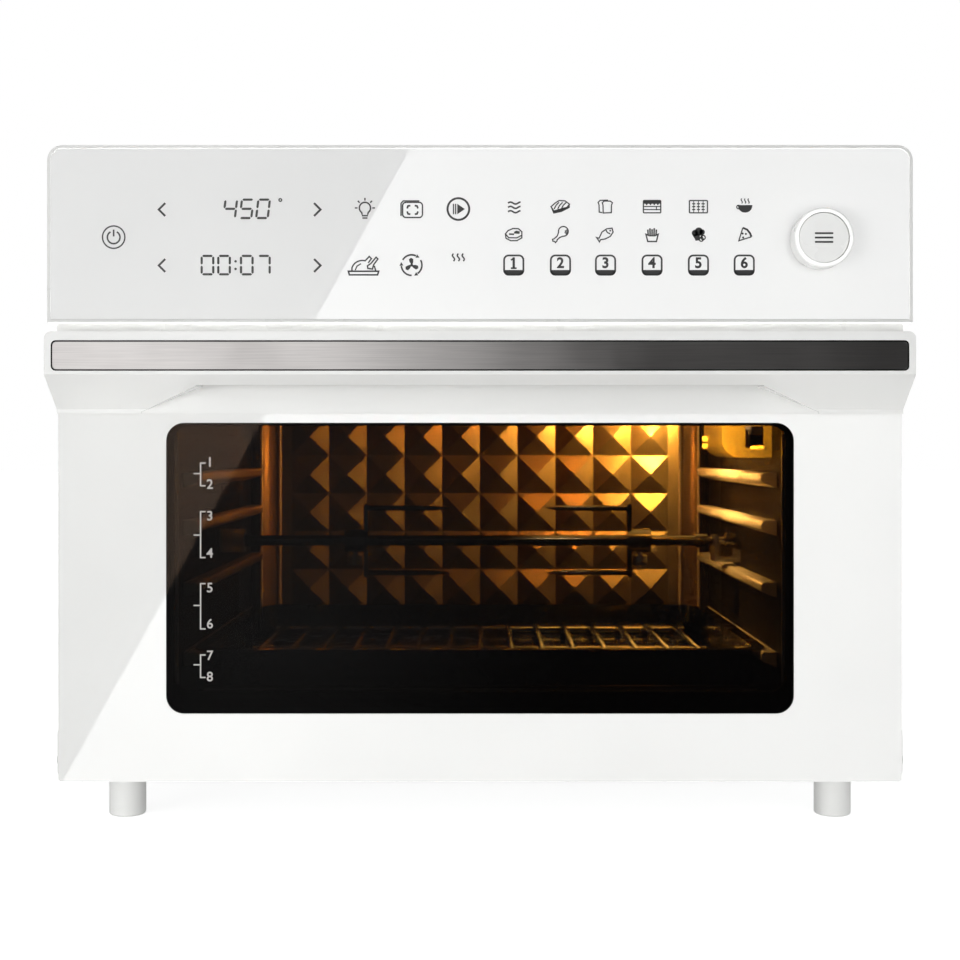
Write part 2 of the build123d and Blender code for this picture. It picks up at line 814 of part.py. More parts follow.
with BuildPart() as rotisserie_motor:
    block(
        (motor_face - motor_depth, motor_face),
        (spit_y - motor_block_half, spit_y + motor_block_half),
        (spit_z - motor_block_half, spit_z + motor_block_half),
    )
    rod(
        (motor_face - motor_depth - motor_can_length, spit_y, spit_z),
        (motor_face - motor_depth, spit_y, spit_z),
        motor_can_radius,
    )
    rod(
        (motor_face - stem_length - 1, spit_y, spit_z),
        (motor_face + 1, spit_y, spit_z),
        stem_radius + running_clearance,
        mode=Mode.SUBTRACT,
    )
save(rotisserie_motor.part, "rotisserie_motor")

with BuildPart() as spit_rod:
    block(
        (spit_start, socket_outer + spit_square_tail),
        (spit_y - spit_square / 2, spit_y + spit_square / 2),
        (spit_z - spit_square / 2, spit_z + spit_square / 2),
    )
    rod((socket_outer + spit_square_tail - 1, spit_y, spit_z), (collar_start, spit_y, spit_z), spit_radius)
    rod((collar_start, spit_y, spit_z), (collar_end, spit_y, spit_z), collar_radius)
    rod((collar_end, spit_y, spit_z), (spit_end_start, spit_y, spit_z), journal_radius)
    rod((spit_end_start, spit_y, spit_z), (spit_end, spit_y, spit_z), spit_end_radius)
save(spit_rod.part, "spit_rod")

fork_hub_radius = 8.0
fork_hub_length = 16.0
fork_bar = 3.0
fork_half = 22.0
fork_width = 9.0
fork_bar_end = 3.0
tine_radius = 1.8
tine_length = 55.0
tine_point = 10.0
tine_tip_radius = 0.4
thumb_radius = 5.0
thumb_shank = 2.0
thumb_height = 7.0
thumb_stand = 2.0
thumb_round = 1.0
fork_left_x = -76.0
fork_right_x = 100.0
thumb_offset = fork_bar + thumb_radius + 1.0


def spit_fork(x, inward):
    """Two-tine fork on the spit; inward is 1 when the tines point to +X."""
    with BuildPart() as fork:
        outward_end = x - inward * fork_hub_length
        rod((outward_end, spit_y, spit_z), (x, spit_y, spit_z), fork_hub_radius)
        bar_span = sorted((x, x - inward * fork_bar))
        block(
            bar_span,
            (spit_y - fork_width / 2, spit_y + fork_width / 2),
            (spit_z - fork_half - fork_bar_end, spit_z + fork_half + fork_bar_end),
        )
        for z in (spit_z - fork_half, spit_z + fork_half):
            point_start = (x + inward * (tine_length - tine_point), spit_y, z)
            rod((x - inward, spit_y, z), point_start, tine_radius)
            with Locations(Plane(origin=point_start, z_dir=(inward, 0, 0))):
                Cone(
                    tine_radius,
                    tine_tip_radius,
                    tine_point,
                    align=(Align.CENTER, Align.CENTER, Align.MIN),
                )
        rod(
            (x - inward * (fork_hub_length + 1), spit_y, spit_z),
            (x + inward, spit_y, spit_z),
            spit_radius + running_clearance,
            mode=Mode.SUBTRACT,
        )
        screw_x = x - inward * thumb_offset
        rod(
            (screw_x, spit_y, spit_z),
            (screw_x, spit_y, spit_z - fork_hub_radius - 1),
            thumb_shank + running_clearance,
            mode=Mode.SUBTRACT,
        )
    return fork.part


with BuildPart() as spit_fork_left:
    add(spit_fork(fork_left_x, 1))
save(spit_fork_left.part, "spit_fork_left")

with BuildPart() as spit_fork_right:
    add(spit_fork(fork_right_x, -1))
save(spit_fork_right.part, "spit_fork_right")

with BuildPart() as fork_screws:
    for x, inward in ((fork_left_x, 1), (fork_right_x, -1)):
        screw_x = x - inward * thumb_offset
        shank_start = (screw_x, spit_y, spit_z - spit_radius - running_clearance)
        shank_end = (screw_x, spit_y, spit_z - fork_hub_radius - thumb_stand)
        head_end = (screw_x, spit_y, spit_z - fork_hub_radius - thumb_stand - thumb_height)
        rod(shank_start, shank_end, thumb_shank)
        rod(shank_end, head_end, thumb_radius)
    fillet(fork_screws.edges().filter_by(GeomType.CIRCLE).group_by(Axis.Z)[0], thumb_round)
save(fork_screws.part, "fork_screws")

# Notched bracket on the right wall, which carries the free end of the spit
support_sheet = 2.5
support_x = collar_end + 4.0
support_half = 9.0
support_drop = 14.0
support_rise = 4.0
notch_radius = journal_radius + 2 * running_clearance
support_low = spit_z - support_drop
with BuildPart() as spit_support:
    block(
        (cavity_half - support_sheet, cavity_half),
        (spit_y - support_half, spit_y + support_half),
        (support_low, spit_z - spit_end_radius - 1),
    )
    block(
        (support_x, cavity_half),
        (spit_y - support_half, spit_y + support_half),
        (support_low, support_low + support_sheet),
    )
    block(
        (support_x, support_x + support_sheet),
        (spit_y - support_half, spit_y + support_half),
        (support_low, spit_z + support_rise),
    )
    rod(
        (support_x - 1, spit_y, spit_z),
        (support_x + support_sheet + 1, spit_y, spit_z),
        notch_radius,
        mode=Mode.SUBTRACT,
    )
    block(
        (support_x - 1, support_x + support_sheet + 1),
        (spit_y - notch_radius, spit_y + notch_radius),
        (spit_z, spit_z + support_rise + 1),
        mode=Mode.SUBTRACT,
    )
save(spit_support.part, "spit_support")

# Lamp: holder through the right wall, bulb, and the hood round it
hood_reach = 30.0
hood_length = 74.0
hood_bottom = z_ceiling - 54.0
hood_sheet = 1.0
hood_corner = 11.0
hood_slot_pitch = 9.0
hood_slot_length = 22.0
hood_slot_width = 4.5
hood_slots = 6
hood_slot_drop = 20.0
hood_window_width = 11.0
hood_window_side = 5.0
hood_window_low = 6.0
hood_window_high = 19.0
bulb_radius = 6.5
bulb_length = 18.0
holder_inside = 7.0
holder_outside = 12.0
holder_flange = 3.0
holder_flange_lap = 4.0

with BuildPart() as lamp_hood:
    with BuildSketch(facing_front(lamp_y - hood_length / 2)) as hood_outline:
        with Locations((cavity_half - hood_reach / 2, (hood_bottom + z_ceiling) / 2)):
            Rectangle(hood_reach, z_ceiling - hood_bottom)
        fillet(hood_outline.vertices().group_by(Axis.X)[0].sort_by(Axis.Y)[0], hood_corner)
    extrude(amount=-hood_length)
    with BuildSketch(facing_front(lamp_y - hood_length / 2 + hood_sheet)) as hood_hollow:
        with Locations(
            (cavity_half - (hood_reach - hood_sheet) / 2, (hood_bottom + hood_sheet + z_ceiling) / 2)
        ):
            Rectangle(hood_reach - hood_sheet, z_ceiling - hood_bottom - hood_sheet)
        fillet(hood_hollow.vertices().group_by(Axis.X)[0].sort_by(Axis.Y)[0], hood_corner - hood_sheet)
    extrude(amount=-(hood_length - 2 * hood_sheet), mode=Mode.SUBTRACT)
    with BuildSketch(facing_side(cavity_half - hood_reach - 1)):
        with Locations((lamp_y, z_ceiling - hood_slot_drop)):
            with GridLocations(hood_slot_pitch, 1, hood_slots, 1):
                SlotOverall(hood_slot_length, hood_slot_width, rotation=90)
    extrude(amount=hood_sheet + 2, mode=Mode.SUBTRACT)
    block(
        (cavity_half - hood_window_side - hood_window_width, cavity_half - hood_window_side),
        (lamp_y - hood_length / 2 - 1, lamp_y - hood_length / 2 + 2 * hood_sheet),
        (hood_bottom + hood_window_low, hood_bottom + hood_window_high),
        mode=Mode.SUBTRACT,
    )
save(lamp_hood.part, "lamp_hood")

with BuildPart() as lamp_holder:
    rod(
        (cavity_half - holder_inside, lamp_y, lamp_z),
        (liner_half + holder_outside, lamp_y, lamp_z),
        lamp_holder_radius,
    )
    rod(
        (liner_half, lamp_y, lamp_z),
        (liner_half + holder_flange, lamp_y, lamp_z),
        lamp_holder_radius + holder_flange_lap,
    )
save(lamp_holder.part, "lamp_holder")

with BuildPart() as lamp_bulb:
    bulb_root = cavity_half - holder_inside
    rod((bulb_root - bulb_length, lamp_y, lamp_z), (bulb_root, lamp_y, lamp_z), bulb_radius)
    fillet(lamp_bulb.edges().filter_by(GeomType.CIRCLE).sort_by(Axis.X)[0], bulb_radius * 0.9)
save(lamp_bulb.part, "lamp_bulb")

# Door outer panel: a white pan with the rounded window hole
door_front_wall = 3.0
door_side_wall = 2.5
window_width = 351.4
window_height = 162.8
window_radius = 10.0
window_bottom = z_base + 38.1
window_z = window_bottom + window_height / 2
door_inside = door_half - door_side_wall
z_door_middle = (z_base + z_door_top) / 2
boss_radius = 4.0
boss_hole_start = 6.0
boss_rows = (z_base + 45.0, z_base + 130.0, z_door_top - 12.0)
boss_columns_x = 75.0
boss_side_x = door_half - 10.0
boss_top_z = z_door_top - 28.8
boss_bottom_z = z_base + 12.0
boss_places = [(side * boss_side_x, z) for side in (-1, 1) for z in boss_rows]
boss_places += [(side * boss_columns_x, z) for side in (-1, 1) for z in (boss_top_z, boss_bottom_z)]
liner_front = y_door_back - case_sheet
door_screw_radius = 1.5
door_screw_head = 3.2
door_screw_head_height = 1.5
door_screw_length = 16.0
pivot_above_door = 10.0
pivot_behind_face = 15.0
pivot_y = y_door + pivot_behind_face
pivot_z = z_base + pivot_above_door
pin_radius = 3.0
bush_outer = 6.0
handle_screw_z = z_door_top - 5.5
handle_screw_x = 213.0
handle_screw_radius = 2.0
handle_screw_head = 2.8
handle_screw_head_height = 1.8
handle_screw_length = 15.0
handle_screw_places = (-handle_screw_x, 0.0, handle_screw_x)
y_door_inside = y_door + door_front_wall

with BuildPart() as door_panel:
    with BuildSketch(facing_front(y_door)):
        with Locations((0, z_door_middle)):
            RectangleRounded(door_width, door_height, door_corner_radius)
    extrude(amount=-door_thickness)
    block(
        (-door_inside, door_inside),
        (y_door_inside, y_door_back + 1),
        (z_base + door_side_wall, z_door_top - door_side_wall),
        mode=Mode.SUBTRACT,
    )
    for x, z in boss_places:
        rod((x, y_door_inside, z), (x, liner_front, z), boss_radius)
    for x, z in boss_places:
        rod(
            (x, y_door_inside + boss_hole_start, z),
            (x, liner_front + 1, z),
            door_screw_radius + fit_clearance,
            mode=Mode.SUBTRACT,
        )
    with BuildSketch(facing_front(y_door - 1)):
        with Locations((0, window_z)):
            RectangleRounded(window_width, window_height, window_radius)
    extrude(amount=-door_front_wall - 2, mode=Mode.SUBTRACT)
    for side in (-1, 1):
        rod(
            (side * (door_inside - 1), pivot_y, pivot_z),
            (side * (door_half + 1), pivot_y, pivot_z),
            bush_outer + fit_clearance,
            mode=Mode.SUBTRACT,
        )
    for x in handle_screw_places:
        rod(
            (x, y_door - 1, handle_screw_z),
            (x, y_door_inside + 1, handle_screw_z),
            handle_screw_radius + fit_clearance,
            mode=Mode.SUBTRACT,
        )
save(door_panel.part, "door_panel")

# Outer window glass, flush in the hole, and the black retainer behind it
with BuildPart() as window_glass:
    with BuildSketch(facing_front(y_door)):
        with Locations((0, window_z)):
            RectangleRounded(
                window_width - 2 * fit_clearance,
                window_height - 2 * fit_clearance,
                window_radius - fit_clearance,
            )
    extrude(amount=-door_front_wall)
save(window_glass.part, "window_glass")

retainer_lap = 10.0
retainer_thickness = 2.5
border_side = 4.0
border_top = 1.5
border_bottom = 12.0
with BuildPart() as glass_retainer:
    with BuildSketch(facing_front(y_door_inside)):
        with Locations((0, window_z)):
            RectangleRounded(
                window_width + 2 * retainer_lap,
                window_height + 2 * retainer_lap,
                window_radius,
            )
        with Locations((0, window_z + (border_bottom - border_top) / 2)):
            RectangleRounded(
                window_width - 2 * border_side,
                window_height - border_top - border_bottom,
                window_radius - border_top,
                mode=Mode.SUBTRACT,
            )
    extrude(amount=-retainer_thickness)
save(glass_retainer.part, "glass_retainer")

# Steel liner that closes the back of the door, inner glass and gasket
inner_view_margin = 5.0
inner_glass_lap = 6.0
inner_glass_thickness = 3.0
with BuildPart() as door_liner:
    block(
        (-door_inside, door_inside),
        (liner_front, y_door_back),
        (z_base + door_side_wall, z_door_top - door_side_wall),
    )
    with BuildSketch(facing_front(liner_front - 1)):
        with Locations((0, window_z)):
            RectangleRounded(
                window_width + 2 * inner_view_margin,
                window_height + 2 * inner_view_margin,
                window_radius,
            )
    extrude(amount=-case_sheet - 2, mode=Mode.SUBTRACT)
    for x, z in boss_places:
        rod(
            (x, liner_front - 1, z),
            (x, y_door_back + 1, z),
            door_screw_radius + fit_clearance,
            mode=Mode.SUBTRACT,
        )
save(door_liner.part, "door_liner")

with BuildPart() as inner_glass:
    glass_margin = inner_view_margin + inner_glass_lap
    block(
        (-window_width / 2 - glass_margin, window_width / 2 + glass_margin),
        (liner_front - inner_glass_thickness, liner_front),
        (window_z - window_height / 2 - glass_margin, window_z + window_height / 2 + glass_margin),
    )
save(inner_glass.part, "inner_glass")

gasket_lap = 3.0
gasket_width = 6.0
with BuildPart() as door_gasket:
    with BuildSketch(facing_front(y_door_back)):
        with Locations((0, z_cavity_middle)):
            RectangleRounded(
                cavity_width + 2 * (gasket_lap + gasket_width),
                cavity_height + 2 * (gasket_lap + gasket_width),
                window_radius + gasket_width,
            )
            RectangleRounded(
                cavity_width + 2 * gasket_lap,
                cavity_height + 2 * gasket_lap,
                window_radius,
                mode=Mode.SUBTRACT,
            )
    extrude(amount=-(door_gap - loose_clearance))
save(door_gasket.part, "door_gasket")

with BuildPart() as door_screws:
    with Locations(seats([(x, y_door_back, z) for x, z in boss_places], (0, -1, 0))):
        add(screw(door_screw_head, door_screw_head_height, door_screw_radius, door_screw_length))
save(door_screws.part, "door_screws")

# Handle: a full-width moulding with a finger scoop, its steel insert and screws
handle_height = 44.0
handle_face_height = 23.4
handle_lip_rise = 2.5
handle_lip_proud = 3.0
handle_corner = 4.0
insert_width = 464.5
insert_height = 16.3
insert_above_face = 2.1
insert_radius = 3.3
insert_depth = 1.2
insert_groove = 0.7
scoop_front_wall = 7.5
scoop_back_wall = 2.0
scoop_top_half = 155.0
scoop_bottom_half = 189.0
scoop_height = 33.0
scoop_shoulder = 15.0
z_handle = z_door_top - handle_height
z_handle_face = z_door_top - handle_face_height
insert_z = z_handle_face + insert_above_face + insert_height / 2
end_pocket_wall = 5.0
end_boss_half = 6.0

with BuildPart() as handle_shell:
    with BuildSketch(facing_side(-door_half)):
        with BuildLine():
            Polyline(
                (y_door, z_door_top),
                (y_handle, z_door_top),
                (y_handle, z_handle_face),
                (y_door - handle_lip_proud, z_handle + handle_lip_rise),
                (y_door - handle_lip_proud, z_handle),
                (y_door, z_handle),
                close=True,
            )
        make_face()
    extrude(amount=door_width)
    fillet(handle_shell.edges().filter_by(Axis.Y).group_by(Axis.Z)[-1], handle_corner)
    with BuildSketch(facing_front(y_handle - 1)):
        with Locations((0, insert_z)):
            RectangleRounded(insert_width, insert_height, insert_radius)
    extrude(amount=-insert_depth - 1, mode=Mode.SUBTRACT)
    with BuildSketch(facing_front(y_handle + scoop_front_wall)):
        with BuildLine():
            Polyline(
                (-scoop_bottom_half, z_handle - 1),
                (-scoop_bottom_half, z_handle + 1),
                (-scoop_top_half, z_handle + scoop_shoulder),
                (-scoop_top_half, z_handle + scoop_height),
                (scoop_top_half, z_handle + scoop_height),
                (scoop_top_half, z_handle + scoop_shoulder),
                (scoop_bottom_half, z_handle + 1),
                (scoop_bottom_half, z_handle - 1),
                close=True,
            )
        make_face()
    extrude(amount=-(handle_reach - scoop_front_wall - scoop_back_wall), mode=Mode.SUBTRACT)
    pocket_inner = scoop_bottom_half + end_pocket_wall
    pocket_outer = door_half - end_pocket_wall
    for side in (-1, 1):
        for near, far in (
            (pocket_inner, handle_screw_x - end_boss_half),
            (handle_screw_x + end_boss_half, pocket_outer),
        ):
            block(
                sorted((side * near, side * far)),
                (y_handle + scoop_front_wall + 2, y_door + 1),
                (z_handle_face, z_door_top - end_pocket_wall),
                mode=Mode.SUBTRACT,
            )
    for x in handle_screw_places:
        rod(
            (x, y_door + 1, handle_screw_z),
            (x, y_door + door_front_wall - handle_screw_length - 2, handle_screw_z),
            handle_screw_radius + running_clearance,
            mode=Mode.SUBTRACT,
        )
save(handle_shell.part, "handle_shell")

with BuildPart() as handle_insert:
    with BuildSketch(facing_front(y_handle)):
        with Locations((0, insert_z)):
            RectangleRounded(
                insert_width - 2 * insert_groove,
                insert_height - 2 * insert_groove,
                insert_radius - insert_groove,
            )
    extrude(amount=-insert_depth)
save(handle_insert.part, "handle_insert")

with BuildPart() as handle_screws:
    with Locations(seats([(x, y_door_inside, handle_screw_z) for x in handle_screw_places], (0, -1, 0))):
        add(
            screw(
                handle_screw_head,
                handle_screw_head_height,
                handle_screw_radius,
                handle_screw_length,
            )
        )
save(handle_screws.part, "handle_screws")

# Hinges: brackets on the case sides, pins through them into bushes in the door
bracket_thickness = 2.0
bracket_back = y_case + 40.0
bracket_front = pivot_y - 8.0
bracket_low = z_base + 1.0
bracket_high = z_base + 29.0
bracket_corner = 5.0
pin_head = 1.2
pin_head_radius = 4.6
bush_length_in = 12.0
spring_clearance = 0.2
spring_wall = 1.1
spring_inset = 1.0
spring_wall_gap = 0.5

with BuildPart() as hinge_brackets:
    for side in (-1, 1):
        block(
            sorted((side * case_half, side * (case_half + bracket_thickness))),
            (bracket_front, bracket_back),
            (bracket_low, bracket_high),
        )
    fillet(hinge_brackets.edges().filter_by(Axis.X), bracket_corner)
    for side in (-1, 1):
        rod(
            (side * (case_half - 1), pivot_y, pivot_z),
            (side * (case_half + bracket_thickness + 1), pivot_y, pivot_z),
            pin_radius + running_clearance,
            mode=Mode.SUBTRACT,
        )
save(hinge_brackets.part, "hinge_brackets")

with BuildPart() as hinge_pins:
    for side in (-1, 1):
        head_start = side * (case_half + bracket_thickness)
        pin_start = side * (door_inside - bush_length_in)
        rod((pin_start, pivot_y, pivot_z), (head_start, pivot_y, pivot_z), pin_radius)
        rod(
            (head_start, pivot_y, pivot_z),
            (head_start + side * pin_head, pivot_y, pivot_z),
            pin_head_radius,
        )
save(hinge_pins.part, "hinge_pins")

with BuildPart() as hinge_bushes:
    for side in (-1, 1):
        rod(
            (side * (door_inside - bush_length_in), pivot_y, pivot_z),
            (side * door_half, pivot_y, pivot_z),
            bush_outer,
        )
        rod(
            (side * (door_inside - bush_length_in - 1), pivot_y, pivot_z),
            (side * (door_half + 1), pivot_y, pivot_z),
            pin_radius + running_clearance,
            mode=Mode.SUBTRACT,
        )
save(hinge_bushes.part, "hinge_bushes")

with BuildPart() as door_springs:
    for side in (-1, 1):
        spring_span = (
            (side * (door_inside - bush_length_in + spring_inset), pivot_y, pivot_z),
            (side * (door_inside - spring_wall_gap), pivot_y, pivot_z),
        )
        rod(*spring_span, bush_outer + spring_clearance + spring_wall)
        rod(*spring_span, bush_outer + spring_clearance, mode=Mode.SUBTRACT)
save(door_springs.part, "door_springs")

# Control panel bezel: a deep frame round the glass, with the chin strip below
bezel_rim = 1.7
glass_thickness = 3.0
glass_seat = 6.0
seat_thickness = 2.0
chin_inset = 4.7
chin_setback = 3.0
chin_clearance = 1.5
panel_half = panel_width / 2
y_glass_back = y_panel + glass_thickness
z_panel_middle = (z_panel + z_top) / 2

with BuildPart() as control_bezel:
    with BuildSketch(facing_front(y_panel)) as bezel_outer:
        with Locations((0, z_panel_middle)):
            Rectangle(panel_width, panel_height)
        fillet(bezel_outer.vertices().group_by(Axis.Y)[-1], panel_corner_radius)
    extrude(amount=-(y_case - y_panel))
    with BuildSketch(facing_front(y_panel - 1)) as glass_pocket:
        with Locations((0, z_panel_middle)):
            Rectangle(panel_width - 2 * bezel_rim, panel_height - 2 * bezel_rim)
        fillet(glass_pocket.vertices().group_by(Axis.Y)[-1], panel_corner_radius - bezel_rim)
    extrude(amount=-glass_thickness - 1, mode=Mode.SUBTRACT)
    block(
        (-panel_half + glass_seat, panel_half - glass_seat),
        (y_panel, y_glass_back + seat_thickness + 1),
        (z_panel + glass_seat, z_top - glass_seat),
        mode=Mode.SUBTRACT,
    )
    with BuildSketch(facing_front(y_glass_back + seat_thickness)) as bezel_hollow:
        with Locations((0, z_panel_middle)):
            Rectangle(panel_width - 2 * bezel_wall, panel_height - 2 * bezel_wall)
        fillet(bezel_hollow.vertices().group_by(Axis.Y)[-1], panel_corner_radius - bezel_wall)
    extrude(amount=-(y_case - y_glass_back), mode=Mode.SUBTRACT)
    block(
        (-panel_half + chin_inset, panel_half - chin_inset),
        (y_panel + chin_setback, y_case),
        (z_door_top + chin_clearance, z_panel),
    )
save(control_bezel.part, "control_bezel")

# Control glass with the hole for the knob shaft
knob_x = 188.2
knob_z = z_panel + 45.5
tube_radius = 4.0
glass_inset = bezel_rim + fit_clearance
with BuildPart() as control_glass:
    with BuildSketch(facing_front(y_panel)) as glass_outline:
        with Locations((0, z_panel_middle)):
            Rectangle(panel_width - 2 * glass_inset, panel_height - 2 * glass_inset)
        fillet(glass_outline.vertices().group_by(Axis.Y)[-1], panel_corner_radius - glass_inset)
        with Locations((knob_x, knob_z)):
            Circle(tube_radius + loose_clearance, mode=Mode.SUBTRACT)
    extrude(amount=-glass_thickness)
save(control_glass.part, "control_glass")

# Touch board behind the glass, with the display in its window
board_thickness = 1.6
board_half = panel_half - glass_seat - loose_clearance
board_low = z_panel + glass_seat + loose_clearance
board_high = z_top - glass_seat - loose_clearance
display_x = -134.0
display_z = z_panel + 47.0
display_width = 78.0
display_height = 60.0
display_depth = 8.0
y_board_back = y_glass_back + board_thickness
encoder_size = 14.0
encoder_depth = 9.0

with BuildPart() as touch_board:
    block((-board_half, board_half), (y_glass_back, y_board_back), (board_low, board_high))
    with BuildSketch(facing_front(y_glass_back - 1)):
        with Locations((display_x, display_z)):
            Rectangle(display_width + 2 * loose_clearance, display_height + 2 * loose_clearance)
        with Locations((knob_x, knob_z)):
            Circle(tube_radius + loose_clearance)
    extrude(amount=-board_thickness - 2, mode=Mode.SUBTRACT)
save(touch_board.part, "touch_board")

with BuildPart() as display_module:
    block(
        (display_x - display_width / 2, display_x + display_width / 2),
        (y_glass_back, y_glass_back + display_depth),
        (display_z - display_height / 2, display_z + display_height / 2),
    )
save(display_module.part, "display_module")

# Knob: a turning ring with a hollow shaft, a push cap in it, and the encoder
knob_reach = 12.0
knob_standoff = 0.5
knob_radius = 16.4
cap_radius = 13.7
cap_pocket = 13.95
cap_thickness = 4.0
cap_recess = 0.6
cap_travel = 1.5
stem_pin_radius = 2.0
knob_round = 1.0
cap_round = 0.6
tube_depth = 5.0
encoder_wall = 0.5
y_knob_face = y_panel - knob_reach
y_knob_back = y_panel - knob_standoff
y_cap_face = y_knob_face + cap_recess
y_cap_back = y_cap_face + cap_thickness
y_pocket = y_cap_back + cap_travel + 0.5
tube_end = y_board_back + tube_depth
stem_end = y_board_back + encoder_depth - 2 * encoder_wall - cap_travel

with BuildPart() as knob_ring:
    rod((knob_x, y_knob_back, knob_z), (knob_x, y_knob_face, knob_z), knob_radius)
    fillet(knob_ring.edges().filter_by(GeomType.CIRCLE).sort_by(Axis.Y)[0], knob_round)
    rod((knob_x, tube_end, knob_z), (knob_x, y_knob_back, knob_z), tube_radius)
    rod((knob_x, y_pocket, knob_z), (knob_x, y_knob_face - 1, knob_z), cap_pocket, mode=Mode.SUBTRACT)
    rod(
        (knob_x, tube_end + 1, knob_z),
        (knob_x, y_pocket - 1, knob_z),
        stem_pin_radius + running_clearance,
        mode=Mode.SUBTRACT,
    )
save(knob_ring.part, "knob_ring")

with BuildPart() as knob_cap:
    rod((knob_x, y_cap_back, knob_z), (knob_x, y_cap_face, knob_z), cap_radius)
    fillet(knob_cap.edges().filter_by(GeomType.CIRCLE).sort_by(Axis.Y)[0], cap_round)
    rod((knob_x, stem_end, knob_z), (knob_x, y_cap_back, knob_z), stem_pin_radius)
save(knob_cap.part, "knob_cap")

with BuildPart() as encoder:
    block(
        (knob_x - encoder_size / 2, knob_x + encoder_size / 2),
        (y_board_back, y_board_back + encoder_depth),
        (knob_z - encoder_size / 2, knob_z + encoder_size / 2),
    )
    rod(
        (knob_x, y_board_back - 1, knob_z),
        (knob_x, tube_end + loose_clearance, knob_z),
        tube_radius + running_clearance,
        mode=Mode.SUBTRACT,
    )
    rod(
        (knob_x, y_board_back, knob_z),
        (knob_x, y_board_back + encoder_depth - encoder_wall, knob_z),
        stem_pin_radius + running_clearance,
        mode=Mode.SUBTRACT,
    )
save(encoder.part, "encoder")

# Power board on four pegs in front of the frame plate
power_width = 180.0
power_height = 62.0
power_x = -60.0
power_low = z_panel + 14.0
peg_length = 9.0
peg_radius = 3.0
peg_inset = 8.0
transformer_x = (power_x - 70.0, power_x - 32.0)
transformer_z = (power_low + 14.0, power_low + 48.0)
transformer_height = 14.0
relay_width = 18.0
relay_pitch = 26.0
relays = 3
relay_start = power_x - 14.0
relay_z = (power_low + 30.0, power_low + 52.0)
relay_height = 12.0
capacitor_radius = 5.0
capacitor_pitch = 18.0
capacitors = 4
capacitor_start = power_x - 10.0
capacitor_z = power_low + 16.0
capacitor_height = 13.0
y_power_back = y_case - peg_length
y_power_front = y_power_back - board_thickness
with BuildPart() as power_board:
    block(
        (power_x - power_width / 2, power_x + power_width / 2),
        (y_power_front, y_power_back),
        (power_low, power_low + power_height),
    )
    for x in (power_x - power_width / 2 + peg_inset, power_x + power_width / 2 - peg_inset):
        for z in (power_low + peg_inset, power_low + power_height - peg_inset):
            rod((x, y_power_back, z), (x, y_case, z), peg_radius)
    block(transformer_x, (y_power_front - transformer_height, y_power_front), transformer_z)
    for step in range(relays):
        relay_x = relay_start + relay_pitch * step
        block(
            (relay_x, relay_x + relay_width),
            (y_power_front - relay_height, y_power_front),
            relay_z,
        )
    for step in range(capacitors):
        capacitor_x = capacitor_start + capacitor_pitch * step
        rod(
            (capacitor_x, y_power_front, capacitor_z),
            (capacitor_x, y_power_front - capacitor_height, capacitor_z),
            capacitor_radius,
        )
save(power_board.part, "power_board")
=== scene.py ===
import json
import math

import bmesh
import bpy
from mathutils import Matrix, Vector


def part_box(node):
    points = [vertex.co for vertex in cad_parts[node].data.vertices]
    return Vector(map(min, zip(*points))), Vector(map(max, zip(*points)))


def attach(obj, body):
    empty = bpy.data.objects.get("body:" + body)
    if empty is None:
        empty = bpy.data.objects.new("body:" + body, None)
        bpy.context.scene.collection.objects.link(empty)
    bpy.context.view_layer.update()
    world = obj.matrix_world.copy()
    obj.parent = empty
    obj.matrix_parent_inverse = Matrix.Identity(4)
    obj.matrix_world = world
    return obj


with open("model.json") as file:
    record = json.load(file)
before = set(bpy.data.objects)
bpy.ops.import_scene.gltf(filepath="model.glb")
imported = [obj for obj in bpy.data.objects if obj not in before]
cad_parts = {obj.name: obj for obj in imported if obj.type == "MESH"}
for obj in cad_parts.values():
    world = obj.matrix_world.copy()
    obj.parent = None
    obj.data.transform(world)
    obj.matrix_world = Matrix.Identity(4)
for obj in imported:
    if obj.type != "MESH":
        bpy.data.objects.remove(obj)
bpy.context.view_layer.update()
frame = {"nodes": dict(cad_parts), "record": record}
nodes = frame["nodes"]
scene = bpy.context.scene
scene.view_settings.view_transform = "Standard"

MM = 0.001

# Places that several pieces share, in metres
PANEL_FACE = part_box("control_glass")[0].y
WINDOW_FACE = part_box("window_glass")[0].y
DOOR_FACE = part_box("door_panel")[0].y
PRINT = 0.06 * MM
CAMERA_Y = -1.020
CAMERA_Z = 0.2145


def camera_and_view():
    """Level camera, straight on, at the height of the window's upper part."""
    data = bpy.data.cameras.new("camera")
    data.sensor_width = 36.0
    data.lens = 56.95
    data.shift_y = -0.03125
    data.clip_start = 0.02
    data.clip_end = 60.0
    camera = bpy.data.objects.new("camera", data)
    scene.collection.objects.link(camera)
    camera.location = (0.0, CAMERA_Y, CAMERA_Z)
    camera.rotation_euler = (math.radians(90), 0, 0)
    scene.camera = camera


camera_and_view()


# Materials
def rgb(web):
    """Linear colour from a web colour such as E7E8E6."""
    parts = [int(web[i : i + 2], 16) / 255 for i in (0, 2, 4)]
    linear = [p / 12.92 if p <= 0.04045 else ((p + 0.055) / 1.055) ** 2.4 for p in parts]
    return (*linear, 1.0)


